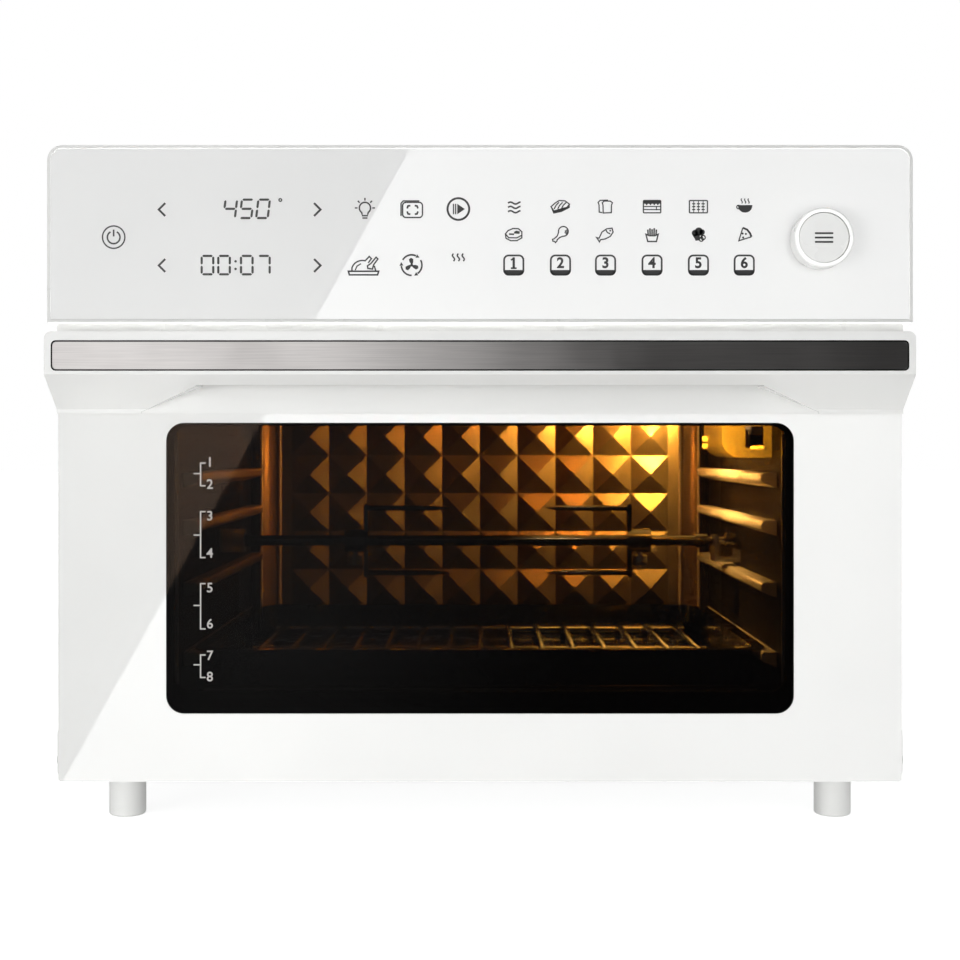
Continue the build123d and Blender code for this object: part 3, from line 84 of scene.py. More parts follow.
class Paint:
    """A material in the making, with short ways to add its nodes."""

    def __init__(self, name, **sockets):
        self.material = bpy.data.materials.new(name)
        self.material.use_nodes = True
        self.tree = self.material.node_tree
        self.shader = self.tree.nodes["Principled BSDF"]
        self.place = self.tree.nodes.new("ShaderNodeTexCoord").outputs["Object"]
        for socket, value in sockets.items():
            self.put(socket.replace("_", " "), value)

    def put(self, socket, value):
        """Sets a shader socket to a value, or joins it to a node's output."""
        target = self.shader.inputs[socket]
        if isinstance(value, bpy.types.NodeSocket):
            self.tree.links.new(value, target)
        else:
            target.default_value = value

    def add(self, kind, inputs, **settings):
        """New node with its inputs set or joined."""
        node = self.tree.nodes.new(kind)
        for key, value in settings.items():
            setattr(node, key, value)
        for key, value in inputs.items():
            if isinstance(value, bpy.types.NodeSocket):
                self.tree.links.new(value, node.inputs[key])
            else:
                node.inputs[key].default_value = value
        return node

    def stretched(self, stretch):
        return self.add("ShaderNodeMapping", {"Vector": self.place, "Scale": stretch}).outputs[0]

    def noise(self, scale, detail=3.0, stretch=(1, 1, 1)):
        inputs = {"Vector": self.stretched(stretch), "Scale": scale, "Detail": detail}
        return self.add("ShaderNodeTexNoise", inputs).outputs["Fac"]

    def cells(self, scale, stretch=(1, 1, 1)):
        inputs = {"Vector": self.stretched(stretch), "Scale": scale}
        return self.add("ShaderNodeTexVoronoi", inputs).outputs["Distance"]

    def spread(self, source, low, high, start=0.3, end=0.7):
        """Maps start to end of the source onto low to high."""
        inputs = {"Value": source, "From Min": start, "From Max": end, "To Min": low, "To Max": high}
        return self.add("ShaderNodeMapRange", inputs).outputs[0]

    def blend(self, factor, first, second):
        """Colour between first and second by factor."""
        node = self.tree.nodes.new("ShaderNodeMix")
        node.data_type = "RGBA"
        for index, value in ((0, factor), (6, first), (7, second)):
            if isinstance(value, bpy.types.NodeSocket):
                self.tree.links.new(value, node.inputs[index])
            else:
                node.inputs[index].default_value = value
        return node.outputs[2]

    def times(self, first, second):
        return self.add("ShaderNodeMath", {0: first, 1: second}, operation="MULTIPLY").outputs[0]

    def bump(self, source, distance):
        inputs = {"Height": source, "Distance": distance, "Strength": 1.0}
        return self.add("ShaderNodeBump", inputs).outputs[0]


def shade(colour, gain):
    return (*[min(1.0, c * gain) for c in colour[:3]], 1.0)


def moulded(name, colour, roughness, grain=0.02, coat=0.0, grain_scale=900.0, tint=0.025, **sockets):
    """Painted or moulded surface: slow colour drift, fine skin, uneven gloss."""
    paint = Paint(name, **sockets)
    drift = paint.spread(paint.noise(9.0, 2.0), 0, 1)
    paint.put("Base Color", paint.blend(drift, shade(colour, 1 - tint), shade(colour, 1 + tint)))
    smear = paint.noise(38.0, 4.0)
    paint.put("Roughness", paint.spread(smear, roughness * 0.82, roughness * 1.25))
    skin = paint.noise(grain_scale, 2.0)
    paint.put("Normal", paint.bump(skin, grain * MM))
    paint.put("Coat Weight", coat)
    paint.put("Coat Roughness", 0.01)
    return paint.material


def metal(name, colour, roughness, brushed, tint, scratch, stain=None, **sockets):
    """Bare metal: brushing along one axis or an even satin, smudges and fine scratches."""
    paint = Paint(name, **{"Metallic": 1.0, **sockets})
    stretch = {None: (1, 1, 1), "x": (0.02, 1, 1), "z": (1, 1, 0.02)}[brushed]
    lines = paint.noise(1400.0, 3.0, stretch)
    smudge = paint.noise(16.0, 4.0)
    base = paint.blend(paint.spread(lines, 0, 1), shade(colour, 1 - tint), shade(colour, 1 + tint))
    if stain is not None:
        base = paint.blend(paint.spread(smudge, 0, 0.6, 0.45, 0.75), base, stain)
    paint.put("Base Color", base)
    paint.put("Roughness", paint.times(paint.spread(smudge, 0.8, 1.3), roughness))
    paint.put("Normal", paint.bump(lines, scratch * MM))
    return paint.material


def see_through(name, colour, alpha, roughness, smear=0.02, **sockets):
    """Glass as a thin coat: part of what is behind shows, with gloss on top."""
    paint = Paint(name, **sockets)
    film = paint.noise(14.0, 4.0)
    paint.put("Base Color", paint.blend(paint.spread(film, 0, 1), shade(colour, 0.9), shade(colour, 1.1)))
    paint.put("Roughness", paint.spread(film, roughness, roughness + smear))
    paint.put("Alpha", alpha)
    return paint.material


def pan_enamel(name):
    """Black enamel with small pale specks and a wavy gloss."""
    paint = Paint(name)
    specks = paint.cells(420.0)
    wave = paint.noise(60.0, 3.0)
    colour = paint.blend(paint.spread(specks, 1, 0, 0.05, 0.12), rgb("0B0B0C"), rgb("77777A"))
    paint.put("Base Color", colour)
    paint.put("Roughness", paint.spread(wave, 0.16, 0.30))
    paint.put("Normal", paint.bump(wave, 0.12 * MM))
    paint.put("Coat Weight", 0.5)
    return paint.material


def lamp_glass(name):
    """Glowing bulb glass, its glow colour drifting in soft patches."""
    paint = Paint(name)
    glow = paint.noise(80.0, 2.0)
    paint.put("Base Color", rgb("FFE0B0"))
    paint.put("Roughness", 0.2)
    paint.put("Emission Color", paint.blend(paint.spread(glow, 0, 1), rgb("FFB45A"), rgb("FFD9A0")))
    paint.put("Emission Strength", 2.0)
    return paint.material


def ledge_steel(name, wall_shade, ledge_highlight):
    """Side wall steel with painted light: the wall painted dark as shade, the ledges where they stand off
    it painted bright as a highlight, the upper ones most, as if lit from above.
    """
    paint = Paint(name)
    split = paint.add("ShaderNodeSeparateXYZ", {"Vector": paint.place})
    reach = paint.add("ShaderNodeMath", {0: split.outputs["X"]}, operation="ABSOLUTE").outputs[0]
    off_wall = paint.spread(reach, 1, 0, 175.2 * MM, 175.8 * MM)
    in_front = paint.spread(split.outputs["Y"], 1, 0, 147.2 * MM, 147.8 * MM)
    # Painted light from above: the highlight grows from the lowest ledges to the upper ones
    high = paint.spread(split.outputs["Z"], 0.4, 1.0, 134 * MM, 176 * MM)
    highlight_mask = paint.times(paint.times(off_wall, in_front), high)
    lines = paint.noise(1400.0, 3.0, (1, 0.02, 1))
    smudge = paint.noise(16.0, 4.0)
    # Painted shade on the wall and painted highlight on the ledges, carried into colour, specular tint and
    # metallic
    shaded_wall_tone = paint.blend(paint.spread(smudge, 0, 1), wall_shade, shade(wall_shade, 0.6))
    ledge_highlight_tone = paint.blend(paint.spread(lines, 0, 1), shade(ledge_highlight, 0.9), ledge_highlight)
    paint.put("Base Color", paint.blend(highlight_mask, shaded_wall_tone, ledge_highlight_tone))
    paint.put("Specular Tint", paint.blend(highlight_mask, rgb("4A4036"), rgb("FFF6E6")))
    paint.put("Metallic", paint.spread(highlight_mask, 0.85, 0.7, 0, 1))
    paint.put("Roughness", paint.spread(lines, 0.26, 0.34))
    paint.put("Normal", paint.bump(lines, 0.003 * MM))
    return paint.material


def circuit(name):
    """Green solder mask with faint copper runs."""
    paint = Paint(name)
    runs = paint.cells(260.0, (1, 1, 0.25))
    mask = paint.spread(runs, 0, 1, 0.35, 0.5)
    paint.put("Base Color", paint.blend(mask, rgb("1E6B3C"), rgb("124A2A")))
    paint.put("Roughness", paint.spread(runs, 0.25, 0.45))
    paint.put("Normal", paint.bump(runs, 0.05 * MM))
    return paint.material


def braided(name, colour):
    """Soft seal: a fine rib over matt rubber."""
    paint = Paint(name)
    rib = paint.cells(700.0)
    groove = paint.spread(rib, 0, 1, 0.1, 0.6)
    paint.put("Base Color", paint.blend(groove, shade(colour, 0.7), shade(colour, 1.4)))
    paint.put("Roughness", paint.spread(rib, 0.55, 0.8))
    paint.put("Normal", paint.bump(rib, 0.15 * MM))
    return paint.material


finishes = {
    "white_enamel": moulded("white_enamel", rgb("E6E6E3"), 0.34, grain=0.003, coat=0.1, grain_scale=160.0),
    "white_gloss": moulded(
        "white_gloss",
        rgb("E7E7E5"),
        0.22,
        grain=0.003,
        coat=1.0,
        grain_scale=160.0,
        Specular_IOR_Level=0.02,
    ),
    "white_glass": moulded(
        "white_glass",
        rgb("E6E6E5"),
        0.12,
        grain=0.001,
        coat=1.0,
        grain_scale=90.0,
        tint=0.01,
        Specular_IOR_Level=0.02,
    ),
    "white_knob": moulded("white_knob", rgb("F4F4F2"), 0.24, grain=0.004, coat=0.4),
    "white_foot": moulded("white_foot", rgb("E6E6E4"), 0.42, grain=0.03),
    "window": see_through(
        "window", rgb("060505"), 0.60, roughness=0.008, smear=0.004, Specular_IOR_Level=0.08
    ),
    "clear_glass": see_through("clear_glass", rgb("A9B3AE"), 0.02, roughness=0.02, Specular_IOR_Level=0.08),
    "black_border": moulded(
        "black_border", rgb("070707"), 0.5, grain=0.01, tint=0.15, Specular_IOR_Level=0.1
    ),
    "brushed_insert": metal(
        "brushed_insert",
        rgb("E8E4E2"),
        0.36,
        "x",
        tint=0.06,
        scratch=0.004,
        Anisotropic=0.92,
        Anisotropic_Rotation=0.25,
    ),
    "cavity_steel": metal(
        "cavity_steel",
        rgb("A39B8E"),
        0.38,
        "x",
        tint=0.06,
        scratch=0.003,
        stain=rgb("7D6E58"),
        Metallic=0.9,
    ),
    "plated_steel": metal("plated_steel", rgb("B7B8B8"), 0.36, None, tint=0.05, scratch=0.01),
    "bright_wire": metal("bright_wire", rgb("CFCDC8"), 0.18, None, tint=0.04, scratch=0.004),
    "pan_enamel": pan_enamel("pan_enamel"),
    "element_sheath": metal("element_sheath", rgb("5A5048"), 0.42, None, tint=0.25, scratch=0.03),
    "white_ceramic": moulded("white_ceramic", rgb("E2DFD6"), 0.22, grain=0.02, coat=0.3),
    "seal": braided("seal", rgb("3B3B3C")),
    "black_plastic": moulded("black_plastic", rgb("1A1A1B"), 0.45, grain=0.04, tint=0.12),
    "motor_case": moulded("motor_case", rgb("55565A"), 0.4, grain=0.02, tint=0.1, Metallic=0.6),
    "fastener": metal("fastener", rgb("C3C4C6"), 0.28, None, tint=0.08, scratch=0.02),
    "circuit_board": circuit("circuit_board"),
    "display": moulded("display", rgb("C9CEC3"), 0.2, grain=0.002, coat=0.5),
}
finishes["lamp_glass"] = lamp_glass("lamp_glass")
# Side walls: a painted shade colour for the wall and a painted highlight colour for the ledges
finishes["ledge_steel"] = ledge_steel("ledge_steel", rgb("2C251E"), rgb("F6EAD2"))
for name, web, roughness, brushed, more in (
    # spit in a darker copy of the plated steel: painted shade standing for its dim reflections
    ("shaded_spit_steel", "77746F", 0.18, None, {"tint": 0.1, "scratch": 0.004}),
    # paler steel for beads, hood lip and bolts: a painted highlight
    ("bead_highlight_steel", "F2E8D6", 0.30, None, {"tint": 0.05, "scratch": 0.004, "Metallic": 0.3}),
    ("strip_steel", "A08C74", 0.30, "z", {"tint": 0.06, "scratch": 0.003, "Metallic": 0.7}),
):
    finishes[name] = metal(name, rgb(web), roughness, brushed, **more)
# Bezel in a darker copy of the white plastic: painted shade on its rim and edges
finishes["shaded_white_trim"] = moulded("shaded_white_trim", rgb("D9D9D7"), 0.3, grain=0.002, coat=0.3, grain_scale=160.0)
for name, web, roughness, grain, tint in (
    ("icon_ink", "3C3C3C", 0.35, 0.002, 0.1),
    ("display_ink", "424341", 0.3, 0.002, 0.08),
    ("window_ink", "B9B6B2", 0.45, 0.003, 0.08),
    ("knob_ink", "3A3A3A", 0.35, 0.002, 0.08),
):
    finishes[name] = moulded(name, rgb(web), roughness, grain=grain, grain_scale=2500.0, tint=tint)


def dress(node, finish):
    """Gives a CAD node its finish."""
    mesh = nodes[node].data
    mesh.materials.clear()
    mesh.materials.append(finishes[finish])


for subpart in frame["record"]["subparts"]:
    dress(subpart["node"], subpart["material_slot"])
for node, finish in (
    ("lamp_bulb", "lamp_glass"),
    ("side_wall_left", "ledge_steel"),
    ("side_wall_right", "ledge_steel"),
    ("spit_rod", "shaded_spit_steel"),
    ("spit_fork_left", "shaded_spit_steel"),
    ("spit_fork_right", "shaded_spit_steel"),
    ("control_bezel", "shaded_white_trim"),
):
    dress(node, finish)


# Mesh helpers
def link(name, mesh, body, finish):
    """New piece from a mesh, riding on a body."""
    piece = bpy.data.objects.new(name, mesh)
    scene.collection.objects.link(piece)
    mesh.materials.append(finishes[finish])
    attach(piece, body)


class Print:
    """Thin raised print on a front face, drawn in millimetres from a centre point."""

    def __init__(self, centre_x, centre_z, face):
        self.work = bmesh.new()
        self.centre = Vector((centre_x, centre_z))
        self.front = face - PRINT
        self.back = face

    def corner(self, point, depth):
        x, z = self.centre + Vector(point)
        return self.work.verts.new((x * MM, depth, z * MM))

    def fill(self, outline):
        """Closed plate inside an outline that runs anticlockwise seen from the front."""
        front = [self.corner(p, self.front) for p in outline]
        back = [self.corner(p, self.back) for p in outline]
        self.work.faces.new(front)
        self.work.faces.new(back[::-1])
        for i in range(len(outline)):
            j = (i + 1) % len(outline)
            self.work.faces.new((front[j], front[i], back[i], back[j]))

    def line(self, points, width, closed=False):
        """Stroke of even width along the points, mitred at its corners."""
        path = [Vector(p) for p in points]
        count = len(path)
        left, right = [], []
        for i, here in enumerate(path):
            before = path[i - 1] if (closed or i > 0) else here
            after = path[(i + 1) % count] if (closed or i < count - 1) else here
            into = (here - before).normalized() if (here - before).length else (after - here).normalized()
            out = (after - here).normalized() if (after - here).length else into
            side_in = Vector((-into.y, into.x))
            side_out = Vector((-out.y, out.x))
            mitre = (side_in + side_out).normalized()
            reach = width / 2 / max(0.35, mitre.dot(side_in))
            left.append(here + mitre * reach)
            right.append(here - mitre * reach)
        rows = [
            [self.corner(p, self.front) for p in left],
            [self.corner(p, self.front) for p in right],
            [self.corner(p, self.back) for p in right],
            [self.corner(p, self.back) for p in left],
        ]
        last = count if closed else count - 1
        for i in range(last):
            j = (i + 1) % count
            for k in range(4):
                one, other = rows[k], rows[(k + 1) % 4]
                self.work.faces.new((one[i], one[j], other[j], other[i]))
        if not closed:
            self.work.faces.new([row[0] for row in rows])
            self.work.faces.new([row[-1] for row in rows][::-1])

    def ring(self, x, z, radius, width, start=0.0, end=360.0, steps=40):
        """Circle, or an arc from start to end in degrees, anticlockwise from +X."""
        whole = end - start >= 360
        count = steps if whole else steps + 1
        points = []
        for i in range(count):
            angle = math.radians(start + (end - start) * i / steps)
            points.append((x + radius * math.cos(angle), z + radius * math.sin(angle)))
        self.line(points, width, closed=whole)

    def disc(self, x, z, radius, steps=24):
        angles = [2 * math.pi * i / steps for i in range(steps)]
        self.fill([(x + radius * math.cos(a), z + radius * math.sin(a)) for a in angles])

    def rounded(self, width, height, radius, stroke, x=0.0, z=0.0):
        """Outline of a rectangle with round corners."""
        points = []
        for cx, cz, start in ((1, 1, 0), (-1, 1, 90), (-1, -1, 180), (1, -1, 270)):
            for step in range(6):
                angle = math.radians(start + 18 * step)
                points.append(
                    (
                        x + cx * (width / 2 - radius) + radius * math.cos(angle),
                        z + cz * (height / 2 - radius) + radius * math.sin(angle),
                    )
                )
        self.line(points, stroke, closed=True)

    def done(self, name, body, finish):
        bmesh.ops.recalc_face_normals(self.work, faces=self.work.faces)
        mesh = bpy.data.meshes.new(name)
        self.work.to_mesh(mesh)
        self.work.free()
        link(name, mesh, body, finish)


def wave(x, z, length, height, turns=2, steps=24, upright=False):
    """Points of a sine line that starts at x, z."""
    points = []
    for i in range(steps + 1):
        along = length * i / steps
        across = height / 2 * math.sin(2 * math.pi * turns * i / steps)
        points.append((x + across, z + along) if upright else (x + along, z + across))
    return points


def numeral(name, text, x, z, face, height, body, finish, weight):
    """Plain numbers standing on a front face, centred on x, z in millimetres."""
    curve = bpy.data.curves.new(name, "FONT")
    curve.body = text
    curve.align_x = "CENTER"
    curve.align_y = "CENTER"
    curve.size = height / 0.72 * MM
    curve.extrude = PRINT / 2
    curve.offset = weight * MM
    curve.resolution_u = 4
    piece = bpy.data.objects.new(name, curve)
    scene.collection.objects.link(piece)
    piece.rotation_euler = (math.radians(90), 0, 0)
    piece.location = (x * MM, face - PRINT / 2, z * MM)
    curve.materials.append(finishes[finish])
    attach(piece, body)


# Control panel print, drawn in millimetres; the upper and the lower row share two heights
ROW_UP = 348.4
ROW_LOW = 317.0
INK = "icon_ink"


def panel_print(x, z):
    return Print(x, z, PANEL_FACE)


def draw_power():
    sign = panel_print(-203.1, 332.5)
    sign.ring(0, 0, 6.2, 0.8)
    sign.ring(0, -0.1, 3.5, 0.9, 120, 420)
    sign.line([(0, 0.4), (0, 4.2)], 0.9)
    sign.done("sign_power", "root", INK)


def draw_chevrons():
    for name, x, way in (("down", -176.4, 1), ("up", -90.1, -1)):
        for row, z in (("upper", ROW_UP - 0.6), ("lower", ROW_LOW - 0.2)):
            sign = panel_print(x, z)
            sign.line([(1.9 * way, 3.6), (-1.7 * way, 0), (1.9 * way, -3.6)], 1.15)
            sign.done(f"sign_{name}_{row}", "root", INK)


def segments(sign, x, digit, slant):
    """One seven-segment digit whose lower left corner is at x, 0."""
    lit = {"0": "abcdef", "4": "bcfg", "5": "acdfg", "7": "abc"}[digit]
    width, thick, gap = 6.4, 1.25, 0.25
    low, half, high = 0.0, 5.1, 10.2
    bars = {
        "a": ((gap, high), (width - gap, high)),
        "b": ((width, high - gap), (width, half + gap)),
        "c": ((width, half - gap), (width, low + gap)),
        "d": ((gap, low), (width - gap, low)),
        "e": ((0, half - gap), (0, low + gap)),
        "f": ((0, high - gap), (0, half + gap)),
        "g": ((gap, half), (width - gap, half)),
    }
    for letter in lit:
        start, end = (Vector(p) for p in bars[letter])
        along = (end - start).normalized()
        across = Vector((-along.y, along.x)) * thick / 2
        tip = thick / 2
        shape = [
            start,
            start + along * tip - across,
            end - along * tip - across,
            end,
            end - along * tip + across,
            start + along * tip + across,
        ]
        sign.fill([(x + p.x + slant * p.y, p.y) for p in shape])


def draw_digits():
    """Temperature and time in display digits."""
    upper = panel_print(-142.3, ROW_UP - 5.3)
    for index, digit in enumerate("450"):
        segments(upper, index * 9.1, digit, slant=0.12)
    upper.ring(31.6, 10.0, 0.75, 0.7, steps=20)
    upper.done("digits_upper", "root", "display_ink")
    lower = panel_print(-154.3, ROW_LOW - 5.1)
    for place, digit in ((0, "0"), (9.2, "0"), (21.8, "0"), (31.3, "7")):
        segments(lower, place, digit, slant=0.0)
    lower.disc(18.8, 3.0, 0.7)
    lower.disc(18.8, 7.2, 0.7)
    lower.done("digits_lower", "root", "display_ink")


def draw_light():
    sign = panel_print(-63.8, ROW_UP - 0.3)
    sign.ring(0, 0.6, 3.1, 0.85, -50, 230)
    for way in (-1, 1):
        sign.line([(way * 1.9, -1.6), (way * 1.5, -3.2)], 0.8)
    sign.line([(-1.7, -3.7), (1.7, -3.7)], 0.8)
    sign.line([(-1.4, -5.0), (1.4, -5.0)], 0.8)
    for degree in (0, 45, 90, 135, 180):
        ray = Vector((math.cos(math.radians(degree)), math.sin(math.radians(degree))))
        sign.line([ray * 4.1 + Vector((0, 0.6)), ray * 5.6 + Vector((0, 0.6))], 0.8)
    sign.done("sign_light", "root", INK)


def draw_frame():
    """Picture frame before another, with four arrows in it."""
    sign = panel_print(-37.4, ROW_UP - 0.8)
    sign.rounded(11.0, 8.4, 1.8, 0.8)
    sign.line([(-6.4, -3.4), (-6.4, 3.6), (-5.2, 5.0), (3.8, 5.0)], 0.7)
    for way in (-1, 1):
        sign.line([(way * 1.2, 2.4), (way * 2.5, 2.2), (way * 3.0, 0.8)], 1.0)
        sign.line([(way * 1.2, -2.4), (way * 2.5, -2.2), (way * 3.0, -0.8)], 1.0)
    sign.done("sign_shelf", "root", INK)


def draw_play():
    sign = panel_print(-12.0, ROW_UP - 0.3)
    sign.ring(0, 0, 6.0, 1.15, steps=56)
    sign.fill([(-0.6, -2.9), (3.6, 0), (-0.6, 2.9)])
    for x in (-1.5, -2.7):
        sign.line([(x, 2.9), (x, -2.9)], 0.7)
    sign.done("sign_start", "root", INK)


def draw_dish():
    """Dish on a tray."""
    sign = panel_print(-64.6, ROW_LOW)
    sign.line([(-8.4, -3.4), (-7.8, -5.4), (7.8, -5.4), (8.4, -3.4)], 0.9, closed=True)
    back = [(-6.4, -3.2)]
    for degree in range(165, 70, -15):
        angle = math.radians(degree)
        back.append((-0.6 + 6.0 * math.cos(angle), -3.0 + 5.6 * math.sin(angle)))
    sign.line([*back, (3.2, 4.8), (4.4, 3.6), (2.6, 1.2)], 0.8)
    leg = [(2.2, -0.4), (4.2, 1.0), (7.0, 4.4), (8.0, 3.4), (5.6, 0.2), (5.0, -2.2), (2.4, -1.8)]
    sign.line(leg, 0.8, closed=True)
    sign.line([(6.0, -0.4), (6.8, -3.2)], 0.8)
    sign.line([(-4.6, -2.8), (-3.6, -0.6), (-1.4, 0.8)], 0.7)
    sign.done("sign_roast", "root", INK)


def draw_fan():
    sign = panel_print(-37.9, ROW_LOW)
    for start in (65, 185, 305):
        sign.ring(0, 0, 5.7, 0.95, start, start + 85, steps=14)
        turn = Matrix.Rotation(math.radians(start), 2)
        sign.fill([turn @ Vector(p) for p in ((4.6, -0.2), (5.6, -2.2), (6.8, -0.2))])
    sign.disc(0, 0, 0.8)
    for degree in (90, 210, 330):
        turn = Matrix.Rotation(math.radians(degree), 2)
        blade = [(0.4, -0.5), (1.9, -0.9), (3.4, -0.9), (4.1, 0.4), (3.2, 1.5), (1.8, 1.2), (0.7, 0.4)]
        sign.fill([turn @ Vector(p) for p in blade])
    sign.done("sign_fan", "root", INK)


def draw_steam():
    sign = panel_print(-12.0, 321.2)
    for x in (-2.7, 0, 2.7):
        sign.line(wave(x, -2.0, 4.2, 1.2, 1, 12, upright=True), 0.85)
    sign.done("sign_steam", "root", INK)


COLUMNS = (18.7, 44.6, 69.6, 95.4, 121.1, 146.5)
PICTURE_UP = 349.4
PICTURE_LOW = 333.9


def waves_picture(sign):
    for z in (-2.4, 0, 2.4):
        sign.line(wave(-3.2, z - 0.4, 7.0, 1.1, 1.25, 20), 0.95)


def slab_picture(sign):
    """Striped slab with a thick dark side."""
    near = [(3.6, -0.4), (0.6, -1.2), (-3.6, -2.4)]
    sign.line([(-5.2, 0.0), (-3.0, 2.0), (-0.7, 3.4), (2.6, 3.2), (5.0, 1.4), *near], 0.7, closed=True)
    sign.fill([(-5.4, -0.2), (-3.9, -3.9), (0.8, -2.9), (5.2, -0.6), (5.2, 1.0), *near])
    for x in (-2.6, -0.6, 1.4):
        sign.line([(x - 0.9, -1.3), (x + 0.2, 0.8), (x + 1.8, 2.4)], 0.7)


def bread_picture(sign):
    """Slice of bread with another behind it."""
    slice_left = [(-1.3, -3.5), (-1.4, 0.8), (-1.8, 2.2), (-0.7, 3.1)]
    slice_right = [(2.6, 3.1), (3.8, 2.2), (3.3, 0.8), (3.2, -3.3)]
    sign.line([*slice_left, *slice_right], 0.7, closed=True)
    sign.line([(-1.8, -3.3), (-3.5, -3.0), (-3.6, 0.9), (-4.1, 2.4), (-3.0, 3.5), (1.4, 3.6)], 0.7)


def oven_picture(sign):
    sign.rounded(9.6, 6.8, 0.5, 0.7)
    sign.fill([(-4.7, 1.6), (4.7, 1.6), (4.7, 3.3), (-4.7, 3.3)])
    for x in (-3.0, -0.9, 1.2, 3.2):
        sign.fill([(x - 0.7, 1.6), (x, 0.7), (x + 0.7, 1.6)])
    for z in (0.1, -1.6):
        sign.line([(-4.6, z), (4.6, z)], 0.6)
    sign.line([(2.4, 0.4), (2.4, -2.0)], 0.6)


def tray_picture(sign):
    sign.rounded(10.0, 6.8, 0.4, 0.7)
    for x in (-2.6, 0, 2.6):
        sign.line([(x, -3.2), (x, 3.2)], 0.45)
        for z in (-1.6, 0, 1.6):
            sign.line([(x - 0.9, z), (x + 0.9, z)], 0.7)


def bowl_picture(sign):
    bowl = [(-3.6, 0.9)]
    for degree in range(190, 360, 17):
        angle = math.radians(degree)
        bowl.append((0.5 + 3.9 * math.cos(angle), 0.2 + 3.5 * math.sin(angle)))
    sign.fill([*bowl, (4.6, 0.9)])
    sign.ring(-3.2, -0.2, 1.0, 0.6, 60, 300, steps=16)
    for x in (-1.4, 0.5, 2.4):
        sign.line(wave(x, 1.8, 2.7, 0.7, 1, 8, upright=True), 0.6)


def steak_picture(sign):
    """Cut of meat with a bone in it."""
    far = [(-4.6, 0.4), (-3.2, 2.2), (-0.4, 3.4), (2.6, 3.3)]
    near = [(4.5, 1.6), (4.5, -0.4), (1.6, -1.8), (-2.8, -1.7)]
    sign.line([*far, *near], 0.7, closed=True)
    sign.line([(-4.6, 0.4), (-4.3, -2.0), (-1.6, -3.4), (1.8, -3.3), (4.5, -1.8), (4.5, 0.6)], 0.7)
    sign.line([(-2.6, 0.3), (0.2, 0.2)], 0.9)
    sign.fill([(0.2, 0.6), (3.2, 0.4), (3.4, 1.8), (1.4, 2.2), (0.2, 1.6)])


def leg_picture(sign):
    sign.ring(1.6, 1.8, 2.7, 0.7, -100, 190)
    bone = [(-3.6, -2.4), (-4.4, -2.6), (-4.2, -3.6), (-3.2, -3.8), (-2.8, -4.4), (-2.0, -3.6)]
    sign.line([(-1.0, 1.4), (-1.8, -0.8), *bone, (-1.8, -2.8), (-0.4, -1.6), (1.2, -0.9)], 0.7)
    for reach in (1.2, 2.0):
        sign.ring(1.6, 1.8, reach, 0.6, -50, 30, steps=8)


def fish_picture(sign):
    side = [(-3.6, -2.0), (-2.0, 1.4), (0.6, 3.2), (3.6, 3.6), (4.2, 1.4), (2.6, -1.0), (-0.2, -2.4)]
    sign.line([*side, (-2.8, -2.8), (-3.4, -4.0), (-4.4, -2.4), (-5.0, -1.6)], 0.7, closed=True)
    sign.line([(0.2, 2.6), (1.0, 1.2), (2.6, 0.4)], 0.7)
    sign.disc(2.6, 2.2, 0.5, 10)


def fries_picture(sign):
    box = [(-3.4, 0.2), (-2.4, -3.8), (2.4, -3.8), (3.4, 0.2), (1.4, -0.6), (-1.4, -0.6)]
    sign.line(box, 0.8, closed=True)
    for x, top in ((-2.4, 2.8), (-1.2, 3.5), (0, 3.0), (1.2, 3.6), (2.4, 2.8)):
        sign.line([(x * 0.9, -0.2), (x, top)], 0.85)


def plant_picture(sign):
    """Dark leafy head beside a smaller one."""
    for x, z, radius in ((0.2, 1.7, 2.3), (-1.9, 0.9, 1.8), (2.0, 1.4, 1.6)):
        sign.disc(x, z, radius, 16)
    sign.fill([(-3.6, 0.2), (-2.2, -2.0), (-1.6, -3.4), (0.6, -3.2), (0.8, -1.0), (0.2, 0.4)])
    for x, z, radius in ((1.2, -1.0, 0.9), (2.6, -1.6, 1.2), (1.6, -2.6, 1.1)):
        sign.ring(x, z, radius, 0.7, steps=14)


def slice_picture(sign):
    sign.line([(-0.8, 3.8), (-3.0, -3.4), (4.0, -1.2)], 0.7)
    sign.line([(-0.8, 3.8), (1.6, 2.8), (3.2, 0.8), (4.0, -1.2)], 1.1)
    for x, z in ((-0.9, 0.6), (0.9, 0.4), (-0.6, -1.6)):
        sign.disc(x, z, 0.6, 10)


def draw_presets():
    upper = (waves_picture, slab_picture, bread_picture, oven_picture, tray_picture, bowl_picture)
    lower = (steak_picture, leg_picture, fish_picture, fries_picture, plant_picture, slice_picture)
    for number, (x, top, bottom) in enumerate(zip(COLUMNS, upper, lower), 1):
        for row, z, picture in (("upper", PICTURE_UP, top), ("lower", PICTURE_LOW, bottom)):
            sign = panel_print(x, z)
            picture(sign)
            sign.done(f"preset_{row}_{number}", "root", INK)
        key = panel_print(x, ROW_LOW)
        key.rounded(10.7, 10.7, 2.5, 1.0)
        key.fill([(-4.2, -5.2), (4.2, -5.2), (5.2, -4.2), (5.2, -2.7), (-5.2, -2.7), (-5.2, -4.2)])
        key.done(f"preset_key_{number}", "root", INK)
        middle = ROW_LOW + 1.0
        numeral(f"preset_number_{number}", str(number), x, middle, PANEL_FACE, 5.8, "root", INK, 0.26)
        if number == 1:
            flag = panel_print(x, middle)
            flag.line([(-1.6, 1.8), (0.1, 2.7)], 0.9)
            flag.line([(-1.6, -2.7), (1.6, -2.7)], 0.9)
            flag.done("preset_number_1_ends", "root", INK)


for draw in (
    draw_power,
    draw_chevrons,
    draw_digits,
    draw_light,
    draw_frame,
    draw_play,
    draw_dish,
    draw_fan,
    draw_steam,
    draw_presets,
):
    draw()


